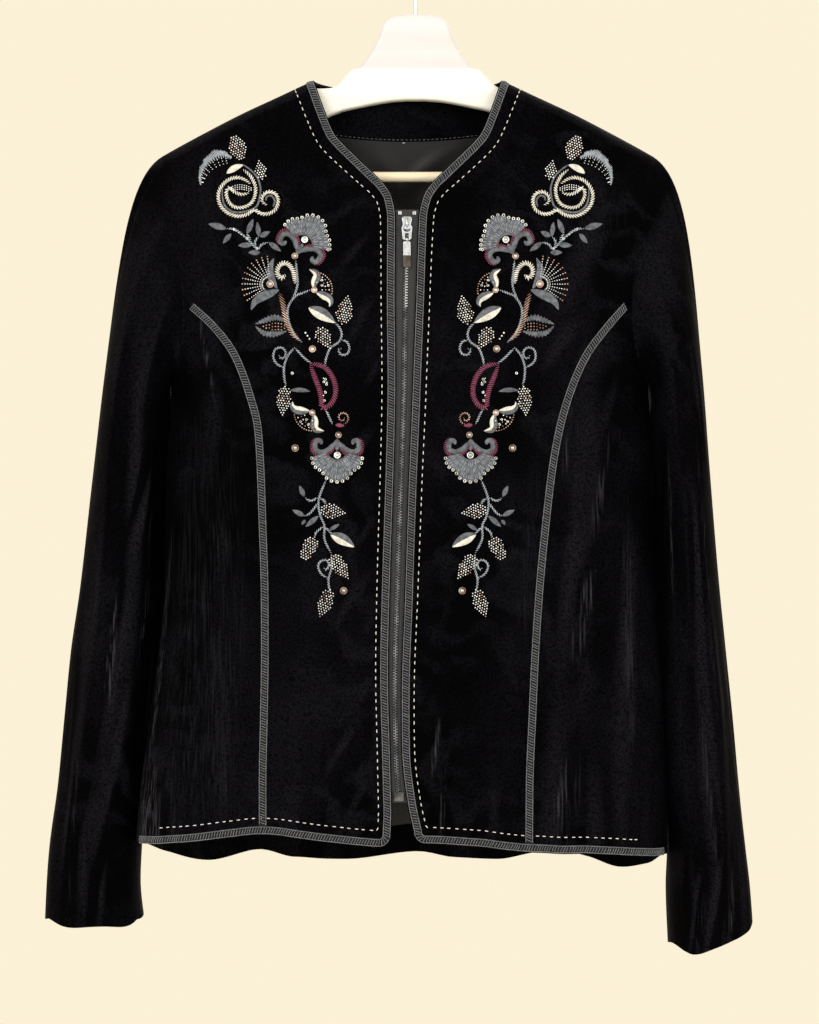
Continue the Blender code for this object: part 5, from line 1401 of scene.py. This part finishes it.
class Needlework:
    """Shapes on the chart, gathered by the thread or bead that they are made of."""

    def __init__(self):
        self.bags = {}

    def add(self, slot, *shape):
        self.bags.setdefault(slot, Bag()).add(*shape)

    def line(self, slot, places, thick, flat=0.75, step=1.1, sides=7, height=None):
        """A stem or cord along a smooth line."""
        path = curve(places, step)
        rise = thick * flat * 0.55 if height is None else height
        path = np.column_stack([path, np.full(len(path), rise)])
        self.add(slot, *tube(path, tapered(len(path), thick, 0.3, 0.14), sides, flat))

    def spiral(self, slot, middle, radius, start, turns, way):
        """A cord that winds in from its start direction, in degrees from the zip's side upwards."""
        t = np.linspace(0, 1, int(14 * turns) + 2)
        turn = math.radians(start) + way * 2 * math.pi * turns * t
        reach = radius * (1 - 0.78 * t)
        places = np.stack([middle[0] - reach * np.cos(turn), middle[1] - reach * np.sin(turn)], axis=1)
        self.rope(slot, places, 2.5, 2.3, 40, way, fill=0.30)

    def stem(self, places):
        """A thin stem of slanting stitches."""
        self.rope("thread_pale", places, 2.5, 2.5, 36, fill=0.28)

    def rope(self, slot, places, wide, pitch=2.6, slant=46, way=1, fill=0.32):
        """A cord of short slanting stitches, close together along a smooth line."""
        path = curve(places, 0.5)
        run = run_lengths(path)
        along = np.arange(pitch / 2, run[-1], pitch)
        spot, ahead, behind = (np.stack([np.interp(along + off, run, path[:, k]) for k in (0, 1)], axis=1)
                               for off in (0, 0.4, -0.4))
        ahead = unit(ahead - behind)
        c, s = math.cos(math.radians(slant)), way * math.sin(math.radians(slant))
        lean = ahead * c + left_of(ahead) * s
        flank = left_of(lean)
        shape, quads, caps = ball(7, 5)
        size = tapered(len(along), 1.0, 0.5, 0.1)[:, None, None]
        flat = (shape[:, :1] * wide / 2 / abs(s) * lean[:, None]
                + shape[:, 1:2] * pitch * fill * flank[:, None])
        rise = np.broadcast_to(shape[:, 2:] * 0.85 + 0.5, (*flat.shape[:2], 1))
        self.add(slot, np.concatenate([spot[:, None] + size * flat, rise], axis=-1), quads, caps)

    def leaf(self, base, tip, width, slot, other=None, bend=0.0, rise=1.3):
        """A satin leaf on a straight or evenly bent line."""
        base, tip = np.array(base, float), np.array(tip, float)
        aside = unit((tip - base)[::-1] * [-1, 1])
        t = np.linspace(0, 1, 9)[:, None]
        self.petal(base + (tip - base) * t + aside * bend * np.sin(math.pi * t), width, slot, other, rise)

    def petal(self, places, width, slot, other=None, rise=1.3, jagged=0.0):
        """Slanting satin stitches each side of a curved line, in one thread or two."""
        path = curve(places, 0.8)
        rows = len(path)
        ahead = unit(np.gradient(path, axis=0))
        aside = left_of(ahead)
        t = np.linspace(0, 1, rows)[:, None]
        k = np.linspace(-1, 1, 9)
        swell = np.sin(math.pi * (0.02 + 0.97 * t)) ** 0.85
        half = width / 2 * swell * (1 + jagged * (np.arange(rows)[:, None] % 4 - 1.5) / 3)
        flat = (path[:, None] + aside[:, None] * (half * k)[..., None]
                - ahead[:, None] * (0.30 * half * np.abs(k))[..., None])
        stitch = 0.22 * ((np.arange(rows)[:, None] + np.abs(np.arange(9) - 4)) % 2)
        vein = 0.45 * np.exp(-(k / 0.16) ** 2)
        height = (rise * np.sqrt(1 - 0.96 * k ** 2) - vein + stitch) * swell - 0.15
        points = np.concatenate([flat, height[..., None]], axis=-1)
        for part, used in ((points[:, :5], slot), (points[:, 4:], other or slot)):
            self.add(used, part.reshape(-1, 3), grid_faces(rows, 5))

    def beads(self, slot, places, radius):
        points, quads, caps = ball()
        places = np.asarray(places, float).reshape(-1, 2)
        size = radius * RANDOM.uniform(0.88, 1.12, (len(places), 1, 1))
        middle = np.column_stack([places, np.full(len(places), radius * 0.75)])
        self.add(slot, middle[:, None] + size * points, quads, caps)

    def bead_leaf(self, base, tip, width, bronze=0.3, radius=0.92):
        """A leaf filled with close rows of round beads."""
        base, tip = np.array(base, float), np.array(tip, float)
        long = float(np.linalg.norm(tip - base))
        ahead = (tip - base) / long
        aside = np.array([-ahead[1], ahead[0]])
        step = radius * 2.9
        places = []
        for i in range(int(long / (step * 0.88)) + 1):
            along = (i + 0.5) * step * 0.88
            half = width / 2 * math.sin(math.pi * min(along / long, 1) ** 0.85) ** 0.75
            reach = int(half / step + 0.6)
            for j in range(-reach, reach + 1):
                across = (j + 0.5 * (i % 2)) * step
                if abs(across) <= half + 0.2:
                    places.append(base + ahead * along + aside * across)
        places = np.array(places) + RANDOM.normal(0, 0.16, (len(places), 2))
        warm = RANDOM.random(len(places)) < bronze
        self.beads("bead_silver", places[~warm], radius)
        self.beads("bead_bronze", places[warm], radius)

    def stone(self, place, radius, slot="bead_bronze"):
        """A cut stone in a round claw."""
        radius = 1.25 * radius
        turn = np.linspace(0, 2 * math.pi, 16, endpoint=False)
        claw = [(1.15, -0.1), (1.32, 0.2), (1.22, 0.55), (1.0, 0.62), (0.84, 0.3)]
        cut = [(0.86, 0.2), (0.80, 0.6), (0.45, 0.95), (0.02, 1.0)]
        for part, rows in ((slot, claw), ("sequin", cut)):
            points = [[place[0] + radius * r * math.cos(a), place[1] + radius * r * math.sin(a), radius * h]
                      for r, h in rows for a in turn]
            self.add(part, points, grid_faces(len(rows), 16, tube=True))

    def sequins(self, places, radius=1.25):
        """Small cupped rings, sewn down flat."""
        turn = np.linspace(0, 2 * math.pi, 9, endpoint=False)
        rows = [(0.42, 0.35), (0.52, 0.62), (0.95, 0.55), (1.05, 0.30), (0.95, 0.10), (0.52, 0.10)]
        shape = np.array([[r * math.cos(a), r * math.sin(a), h] for a in turn for r, h in rows]) * radius
        at = np.arange(54).reshape(9, 6)
        ring = np.concatenate([at, at[:1]])
        ring = np.concatenate([ring, ring[:, :1]], axis=1)
        quads = np.stack([ring[:-1, :-1], ring[1:, :-1], ring[1:, 1:], ring[:-1, 1:]], axis=-1)
        places = np.asarray(places, float).reshape(-1, 2)
        middle = np.column_stack([places, np.full(len(places), 0.3)])
        self.add("sequin", middle[:, None] + shape, quads.reshape(-1, 4))

    def local(self, middle, heading):
        """Turns places along and to the left of a heading into chart places."""
        c, s = math.cos(math.radians(heading)), math.sin(math.radians(heading))

        def place(along, left):
            return (middle[0] - (along * c - left * s), middle[1] - (along * s + left * c))

        return place

    def carnation(self, middle, heading):
        """A fan of grey satin with sequins on its scalloped edge, above two curled sepals."""
        at = self.local(middle, heading)

        def fan(reach, turn):
            return at(FAN_AHEAD + reach * math.cos(turn), reach * math.sin(turn))

        spread = np.linspace(-FAN_SPREAD, FAN_SPREAD, 73)
        lobes = 17.5 + 9 * np.cos(np.radians(spread)) + 6 * np.abs(np.cos(np.radians(spread) * 2.6)) ** 0.6
        rows = 9
        share = np.linspace(0, 1, rows + 1)
        points = []
        for i, (turn, reach) in enumerate(zip(np.radians(spread), lobes)):
            for s in share:
                radius = FAN_ROOT + (reach - FAN_ROOT) * s
                place = fan(radius, turn)
                rise = 0.3 + 1.0 * math.sin(math.pi * min(s * 0.9 + 0.1, 1)) + 0.3 * (i // 2 % 2)
                points.append((*place, rise if 0 < s < 1 else -0.1))
        self.add("thread_grey", points, grid_faces(len(spread), rows + 1))
        for low, high, count in ((0.12, 0.36, 15), (0.40, 0.64, 23), (0.68, 0.92, 31)):
            for turn in np.radians(np.linspace(-67, 67, count)) + RANDOM.normal(0, 0.028, count):
                reach = np.interp(turn, np.radians(spread), lobes) - FAN_ROOT
                ends = [FAN_ROOT + reach * share for share in (low, (low + high) / 2, high)]
                self.line("thread_pale", [fan(r, turn) for r in ends], 0.33,
                          height=1.65, sides=5, step=1.6)
        edge = list(zip(np.radians(spread), lobes))[1:-1:5]
        self.sequins([fan(reach, turn) for turn, reach in edge], 1.80)
        self.beads("bead_bronze", [fan(13, a) for a in np.radians(range(-56, 57, 14))], 0.9)
        for side in (1, -1):
            sepal = [(-1, 1), (6, 8), (9, 15.5), (6, 21.5), (-1.5, 21), (-2, 16.5), (1.5, 15.5)]
            self.line("thread_grey", [at(a, side * b) for a, b in sepal], 2.7, flat=0.5)
            rim = [(3.6, 1.5), (10.3, 8.0), (13.2, 16), (9.0, 24.2), (0, 24.8), (-5, 21)]
            self.rope("thread_magenta", [at(a, side * b) for a, b in rim], 3.9, 1.9, 62, side)
        self.leaf(at(-4, 0), at(8, 0), 7, "thread_grey")
        self.stone(at(12, 0.3), 2.2, "bead_silver")

    def bud(self, middle, heading):
        """Two cream and grey petals opening round a filling of beads."""
        at = self.local(middle, heading)
        left = [(0.6, 0.9), (3.9, 5.4), (9.4, 9.2), (11.2, 13.7), (8.2, 20.3)]
        right = [(0.2, -3.2), (4.3, -9.4), (6.8, -15.8), (5.5, -20.5), (2.0, -22.6)]
        self.petal([at(*spot) for spot in left], 8, "thread_grey", "thread_cream")
        self.petal([at(*spot) for spot in right], 8, "thread_cream", "thread_grey")
        rim = [at(18 * math.cos(a), 18 * math.sin(a)) for a in np.radians(range(-48, 49, 8))]
        self.beads("bead_bronze", rim, 0.95)
        inner = [at(r * math.cos(a), r * math.sin(a)) for r, count in ((8, 3), (11.5, 5), (15, 6))
                 for a in np.radians(np.linspace(-36, 36, count))]
        self.beads("bead_silver", inner[::2], 0.85)
        self.beads("bead_bronze", inner[1::2], 0.80)
        self.sequins([at(12, 3.5), at(14, -4.5), at(9, -1)], 1.25)
        self.stone(middle, 2.0)


def draw_top(work):
    """Wing, rope rings and leafy sprig on the chest."""
    outer = curve([(207, 56), (208, 46), (205, 35), (198, 26), (187, 21), (176, 27)], 0.9)
    inner = curve([(204, 56), (201, 49), (196, 43), (188, 38), (182, 36), (175, 34)], 0.9)
    count = 40
    t = np.linspace(0, 1, count)
    out = np.stack([np.interp(t, np.linspace(0, 1, len(outer)), outer[:, k]) for k in (0, 1)], axis=1)
    within = np.stack([np.interp(t, np.linspace(0, 1, len(inner)), inner[:, k]) for k in (0, 1)], axis=1)
    for i in range(count):
        scallop = 0.12 * abs(math.sin(5 * math.pi * t[i]))
        ends = (0.46 + 0.16 * (i % 2), 0.80, 0.98 + scallop + RANDOM.uniform(-0.06, 0.06))
        work.line("thread_pale", [within[i] + (out[i] - within[i]) * share for share in ends], 0.62,
                  step=1.6)
    for share in (0.05, 0.24, 0.43):
        work.beads("bead_silver", within[2:-2:4] + (out - within)[2:-2:4] * share, 0.66)
    work.bead_leaf((165, 31), (174, 6), 17, 0.19)
    work.leaf((180, 45), (163, 36), 6.5, "thread_cream", bend=1.2)
    work.bead_leaf((144, 52), (148, 31), 11, 0.06)
    work.rope("thread_cream", [(164, 41), (156, 48), (151, 59), (152, 70), (157, 77), (166, 80), (174, 78),
                               (179, 71), (180, 64), (177, 60), (171, 64.5), (164, 66.5), (156, 64.5)], 4.0,
                               way=-1)
    work.rope("thread_cream", [(156, 56), (163, 51), (171, 49.5), (180, 53), (186.5, 61), (188, 70),
                               (185, 79), (178, 85.5), (169, 88.5), (160, 87), (152, 82.5), (145, 86),
                               (137, 86), (130.5, 81.5), (128, 73), (131, 66), (138, 64), (143.5, 68),
                               (144, 74), (139.5, 77.5)], 4.2)
    work.line("thread_grey", [(184, 60), (184, 69), (181, 78.5), (172, 84.5), (160, 83.5), (150, 79),
                              (146.5, 69), (146, 59), (150, 48), (158, 40), (164, 36)], 1.0, flat=0.6,
                              step=0.9)
    work.line("thread_grey", [(133, 79), (131.5, 73), (135, 68), (139.5, 69), (140.5, 73)], 1.0, flat=0.6,
              step=0.9)
    lens = [(u, 56.5 + abs(u - 166) ** 2 * 0.028 + v) for v in (0.4, 2.6, 4.8)
            for u in np.arange(176, 155, -2.3)]
    work.beads("bead_silver", [place for place in lens if place[1] < 63.5], 0.78)
    work.stem([(180, 101), (171, 102), (159, 111), (149, 121), (144, 117), (137, 115)])
    work.stem([(150, 120), (151, 114), (147, 109)])
    work.stem([(155, 113), (158, 108), (159, 105)])
    for base, tip, width in (((180, 101), (198, 96), 6.5), ((175, 106), (183, 116), 5),
                             ((159, 106), (153, 91), 5.5), ((147, 109), (149, 94), 5),
                             ((146, 109), (136, 104), 5.5), ((154, 117), (168, 118), 5.5),
                             ((146, 125), (158, 125), 5.5), ((137, 115), (125, 124), 5.5)):
        work.leaf(base, tip, width, "thread_grey")
    work.sequins([(172, 102), (159, 111), (149, 121)], 1.4)
    work.beads("bead_silver", [(170, 103.5), (167.5, 105), (165, 107), (162.5, 108.5)], 0.75)


def draw_middle(work):
    """Upper flower, thistle, first bud and the stems between."""
    work.carnation((107, 123), 60)
    work.stone((111, 129), 2.2)
    work.sequins([(76, 122)], 1.6)
    work.stem([(110, 133), (109, 145), (108, 155), (110, 165), (114, 172)])
    work.rope("thread_cream", [(110.5, 157), (112.5, 144), (119.5, 136), (126.5, 138.5), (128.5, 146),
                               (124, 151), (119, 147)], 5.6, 2.1, 66, fill=0.38)
    work.stone((135.5, 157), 2.5)
    for turn in range(96, 222, 12):
        c, s = math.cos(math.radians(turn)), math.sin(math.radians(turn))
        reach = np.linspace(8, 25, 8)
        work.beads("bead_silver", np.stack([135.5 - reach * c, 157 - reach * s], axis=1), 0.74)
        work.beads("bead_bronze", [(135.5 - r * c, 157 - r * s) for r in (25.5, 28)], 0.95)
    work.line("thread_grey", [(135, 149), (142, 152), (144, 159), (139, 165)], 1.2, flat=0.6)
    work.petal([(128.5, 161.5), (133.8, 152), (135.8, 143), (134.6, 136.5), (131.9, 130.2)], 7.5,
               "thread_grey")
    work.petal([(126.5, 162.5), (135, 166), (143.8, 169.8), (150.6, 175), (154.6, 183.4)], 9.0,
               "thread_grey")
    work.bud((91.5, 163), 36)
    work.stem([(95, 163), (103, 166), (110, 169), (116, 177), (118, 185), (116, 197), (111, 208),
               (103, 216)])
    work.rope("bead_bronze", [(125, 166), (122.4, 179), (119.4, 193), (114, 205), (107, 214)], 6.8, 2.9, 40,
              fill=0.27)
    work.petal([(119, 195.5), (124.5, 192), (131, 190.5), (140.5, 193.4), (151, 197.4)], 5.4, "thread_grey",
               jagged=0.7)
    work.petal([(118.5, 204), (126, 206), (134.5, 207.2), (142.5, 205.4), (150.4, 198.6)], 5.4,
               "thread_grey", jagged=0.7)
    for u, rows in ((121, (198.5, 201.4)), (124, (197, 200, 203)), (127, (196.6, 199.6, 202.6)),
                    (130, (196.4, 199.6, 202.8)), (133, (196.8, 199.8, 202.8)), (136, (198, 201)),
                    (139, (198.4, 201.2)), (142, (199.5,))):
        work.beads("bead_bronze", [(u, v) for v in rows], 0.95)
    work.leaf((97, 180.5), (70, 196), 12, "thread_cream", "thread_grey", bend=1.0)
    work.stem([(71, 195), (66, 201), (64, 208), (67, 215), (75, 221), (79, 230), (81, 239)])
    work.stem([(65, 212.5), (58.8, 215), (56.3, 221.3), (58.8, 226.9), (64.4, 227.5), (66.9, 223.1),
               (63.8, 221.3)])
    work.bead_leaf((64, 198), (58, 170), 16, 0.14)
    work.bead_leaf((88, 200), (75, 222), 14, 0.22)
    work.beads("bead_silver", [(100, 206), (98, 209), (96, 212)], 1.2)
    work.stone((93, 222), 2.3)
    work.stem([(121.5, 241), (128.8, 236.3), (131.9, 230), (130, 222.5), (123.8, 220.6), (119.6, 225),
               (121, 230.4), (125, 230.6), (126, 227.5)])
    work.stem([(110, 220), (117, 228), (121, 239), (121, 250), (119, 260)])
    work.stem([(110, 221), (103, 229), (95, 236)])


def draw_low(work):
    """Paisley, second bud, lower flower and the trailing sprig."""
    paisley = [(95, 236), (81, 240), (72, 252), (70, 266), (75, 277), (83, 280), (84, 272), (86, 262),
               (91, 249), (95, 237)]
    work.rope("thread_magenta", paisley, 6.2, 2.2, 62, fill=0.36)
    work.sequins([(80, 252), (81.5, 254.5), (79, 257), (80, 265), (81, 273)], 1.35)
    work.beads("bead_silver", [(82, 251), (78.5, 255), (80.5, 264), (82, 268)], 0.9)
    work.sequins([(113, 246)], 1.5)
    work.bead_leaf((120, 258), (123, 288), 14, 0.17)
    work.leaf((115, 263), (95, 264), 4.5, "thread_grey", bend=1.0)
    work.bud((93, 285), 235)
    work.stem([(80, 281), (76, 290), (73, 297)])
    work.spiral("bead_bronze", (63, 290), 6.5, -90, 1.4, 1)
    work.leaf((70, 297), (61, 298), 4, "thread_magenta")
    work.stone((67, 307), 2.1)
    work.carnation((68.5, 315), 270)
    work.stone((110, 320), 2.4)
    work.stem([(79, 351), (85, 365), (87, 375), (85, 387), (81, 397), (81, 410), (74, 425)])
    work.stem([(87, 369), (95, 372), (101, 368)])
    work.stem([(87, 374), (95, 384), (101, 387)])
    for base, tip, width in (((101, 368), (106, 357), 5), ((101, 387), (113, 381), 5),
                             ((100, 391), (104, 396), 3.5), ((87, 387), (100, 398), 5),
                             ((83, 370), (79, 375), 3), ((76, 401), (66, 395), 4)):
        work.leaf(base, tip, width, "thread_grey")
    work.bead_leaf((85, 381), (61, 384), 15, 0.14)
    work.leaf((75, 405), (51, 418), 11, "thread_cream", "thread_grey", bend=1.0)
    work.bead_leaf((90, 407), (103, 431), 14, 0.17)
    work.bead_leaf((75, 425), (58, 448), 15, 0.19)
    work.stem([(77.5, 449), (84.3, 444.2), (87.3, 436.7), (84.3, 431.7), (78.8, 431), (76.6, 435.8),
               (79.6, 440), (82.3, 437.5)])
    work.stem([(81.8, 397.5), (88.5, 402.5), (91.6, 408.3)])
    work.stem([(81.8, 397.5), (76.5, 401.7), (74, 406)])
    work.stem([(86, 368.5), (81.8, 371.9), (79.6, 377)])
    work.stem([(74, 425), (74, 438), (77, 450), (76, 462)])
    work.stone((62, 461), 2.4)
    work.bead_leaf((75, 459), (86, 488), 14, 0.17)


def embroidery():
    """Both halves of the embroidery, one piece for each kind of thread or bead on each front."""
    work = Needlework()
    draw_top(work)
    draw_middle(work)
    draw_low(work)
    for slot, bag in work.bags.items():
        points, faces = bag.gathered()
        for side in (RIGHT, LEFT):
            turned = faces if side == RIGHT else {size: rows[:, ::-1] for size, rows in faces.items()}
            made = piece(f"embroidery_{slot}_{SIDE_NAMES[side]}", on_front(points, side), turned, slot)
            extras["front_" + SIDE_NAMES[side]].append(made)


# Hanger

def hanger_outline(side):
    """Half of the wooden body's outline, from the top middle round to the lower middle."""
    crown = [(0.0070, WOOD_TOP_Z), (0.0150, -0.0712), (0.0230, -0.0742), (0.0266, -0.0787)]
    flare = [(0.0303, -0.0893), (0.0367, -0.1016), (0.0433, -0.1106), (0.0482, -0.1147)]
    neck = [(0.0519, -0.1152), (0.0590, -0.1224), (0.0680, -0.1300)]
    arm_xs = (0.095, 0.120, 0.145, 0.166, 0.178)
    arm = [(x, float(shoulder_z(x - side * JACKET_X)) - HANGER_GAP) for x in arm_xs]
    tip = [(0.1860, -0.1895), (0.1882, -0.1965), (0.1850, -0.2070), (0.1770, -0.2130)]
    under = [(0.1640, -0.2090), (0.1400, -0.1925), (0.1050, -0.1700), (0.0662, -0.1515),
             (0.0459, -0.1460), (0.0229, -0.1416), (0.0070, -0.1403)]
    return [(side * x, z) for x, z in crown + flare + neck + arm + tip + under]


def plate(name, outline, thick, edge, slot, node):
    """A flat board from an outline in X and Z, with its edges rounded over in a few steps."""
    outline = np.asarray(outline, float)
    after, before = np.roll(outline, -1, axis=0), np.roll(outline, 1, axis=0)
    ahead = unit(after - before)
    inward = left_of(ahead)
    doubled = np.sum(outline[:, 0] * after[:, 1] - after[:, 0] * outline[:, 1])
    inward = inward if doubled > 0 else -inward
    rings = []
    for turn in np.linspace(0, math.pi, 13):
        inset = edge * (1 - math.sin(turn) ** 0.8)
        depth = -math.copysign(abs(math.cos(turn)) ** 0.8, math.cos(turn))
        y = depth * edge + math.copysign(thick / 2 - edge, depth) if abs(depth) > 1e-6 else 0.0
        flat = outline + inward * inset
        rings.append(np.stack([flat[:, 0], np.full(len(flat), y), flat[:, 1]], axis=1))
    points = np.array(rings)
    count = len(outline)
    loops = np.arange(len(rings) * count).reshape(len(rings), count)
    faces = {4: grid_faces(len(rings), count, tube=True), count: np.stack([loops[0][::-1], loops[-1]])}
    made = piece(name, points.reshape(-1, 3), faces, slot, sharp=35, moved=False)
    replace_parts(made, node)
    return made


def hanger():
    left = curve(hanger_outline(LEFT), 0.003)
    right = curve(hanger_outline(RIGHT), 0.003)
    plate("hanger_wood", np.concatenate([left, right[::-1]]), HANGER_THICK, HANGER_EDGE, "hanger_wood",
          "hanger_body")
    ends = np.array([-BAR_END_X, -BAR_END_X + BAR_BEVEL, -0.05, 0.05, BAR_END_X - BAR_BEVEL, BAR_END_X])
    bar = np.stack([ends, np.zeros(6), np.full(6, BAR_Z)], axis=1)
    points, quads, caps = tube(bar, BAR_RADIUS * np.array([BAR_TIP, 1, 1, 1, 1, BAR_TIP]), 28)
    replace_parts(piece("hanger_rod", points, {4: quads, 3: caps}, "bar_wood", sharp=40, moved=False),
                "hanger_bar")


def hanger_hook():
    """The wire rises from the wood, swings out and turns over the origin."""
    middle_z = HOOK_WIRE - HOOK_RADIUS
    join, last = math.radians(HOOK_START), math.radians(HOOK_END)
    start = np.array([0, 0, HOOK_NECK_Z])
    end = np.array([HOOK_RADIUS * math.cos(join), 0, middle_z + HOOK_RADIUS * math.sin(join)])
    first = start + np.array([0, 0, HOOK_SWING])
    second = end - np.array([-math.sin(join), 0, math.cos(join)]) * HOOK_SWING
    swing = bend_between(start, first, second, end, np.linspace(0, 1, 16)[:, None])
    turn = np.linspace(join, last, 60)[1:]
    bend = np.stack([HOOK_RADIUS * np.cos(turn), 0 * turn, middle_z + HOOK_RADIUS * np.sin(turn)], axis=1)
    stem = np.array([[0, 0, WOOD_TOP_Z - STEM_DEPTH], [0, 0, STEM_Z]])
    path = np.concatenate([stem, swing, bend])
    wide = np.full(len(path), HOOK_WIRE)
    wide[-1] = HOOK_WIRE * HOOK_TIP
    points, quads, caps = tube(path, wide, 14, across=np.broadcast_to([0, 1.0, 0], path.shape))
    made = piece("hook_wire", points, {4: quads, 3: caps}, "hook_steel", sharp=50, moved=False)
    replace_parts(made, "hanger_hook")


# Putting it together

extras = {}
for side in (RIGHT, LEFT):
    word = SIDE_NAMES[side]
    panel("front_" + word, front_panel(side), FRONT_STREAKS)
    panel("side_front_" + word, side_front_panel(side), FRONT_STREAKS)
    sleeve(side)
    extras["front_" + word] = braid("braid_front_" + word, edge_places(side, TRIM_INSET + TRIM_WIDTH / 2),
                                    "trim_front_" + word)
    extras["front_" + word].append(stitches(side))
    extras["side_front_" + word] = braid("braid_princess_" + word, princess_places(side),
                                         "trim_princess_" + word)
    zip_tape(side)
    extras["zip_tape_" + word] = zip_teeth(side)
grid = back_grid()
panel("back", on_body(grid[..., 0], grid[..., 1], back=True), BACK_STREAKS)
extras["back"] = braid("braid_back_neck", back_neck_places(), "trim_back_neck", back=True)
inside_back("back_neck_facing", grid[FACING_ROW:], len(NECK_XS) - 1, "velvet")
extras["back_neck_facing"] = facing_stitches()
inside_back("back_lining", grid[LINING_ROW:FACING_ROW + 1],
                                    len(NECK_XS) + LINING_REACH, "lining", LINING_FOLDS)
tab_end()
hanger()
hanger_hook()
embroidery()

for name in ("zip_stop_right", "zip_stop_left", "zip_box", "zip_slider", "zip_link", "zip_tab"):
    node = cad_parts[name]
    node.data.materials.clear()
    node.data.materials.append(MATERIALS["zip_dark" if name == "zip_box" else "zip_metal"])


# Floor, light and camera

def area_light(name, place, aim, size, power, colour=(1, 1, 1)):
    lamp = bpy.data.lights.new(name, "AREA")
    lamp.shape = "SQUARE"
    lamp.size = size
    lamp.energy = power
    lamp.color = colour
    made = bpy.data.objects.new(name, lamp)
    made.location = place
    way = np.array(aim, float) - np.array(place, float)
    made.rotation_euler = (math.acos(-way[2] / np.linalg.norm(way)), 0,
                           math.atan2(way[1], way[0]) - math.pi / 2)
    bpy.context.scene.collection.objects.link(made)
    return made


FLOOR_Z = -1.25
FLOOR_RADIUS = 1.9
FLOOR_SIDES = 64
FLOOR_FORWARD = 0.2
mesh = bpy.data.meshes.new("floor")
turns = [2 * math.pi * k / FLOOR_SIDES for k in range(FLOOR_SIDES)]
mesh.from_pydata([(FLOOR_RADIUS * math.cos(a), FLOOR_RADIUS * math.sin(a) - FLOOR_FORWARD,
                   FLOOR_Z) for a in turns], [], [tuple(range(FLOOR_SIDES))])
mesh.materials.append(Look("Pale floor", (0.80, 0.77, 0.71), 0.7).made)
floor = bpy.data.objects.new("floor", mesh)
bpy.context.scene.collection.objects.link(floor)
lights = [
    area_light("Key", (-1.3, -2.6, 0.5), (0, 0, -0.45), 1.8, 40, (0.90, 0.95, 1.0)),
    area_light("Fill", (1.6, -2.3, 0.1), (0, 0, -0.5), 1.8, 24, (0.90, 0.95, 1.0)),
    area_light("Back", (0.4, 2.4, 0.9), (0, 0, -0.4), 1.6, 24),
]
world = bpy.data.worlds.new("Pale studio")
world.use_nodes = True
sky = world.node_tree.nodes["Background"]
sky.inputs["Color"].default_value = (0.97, 0.88, 0.68, 1)
sky.inputs["Strength"].default_value = 1.0
bpy.context.scene.world = world

LENS, SENSOR = 103.05, 36
CAMERA_PLACE = (-0.0049, -2.4, -0.4769)
camera = bpy.data.cameras.new("Camera")
camera.lens = LENS
camera.sensor_width = SENSOR
view = bpy.data.objects.new("Camera", camera)
view.location = CAMERA_PLACE
view.rotation_euler = (math.pi / 2, 0, 0)
bpy.context.scene.collection.objects.link(view)
bpy.context.scene.camera = view
bpy.context.scene.view_settings.view_transform = "Standard"
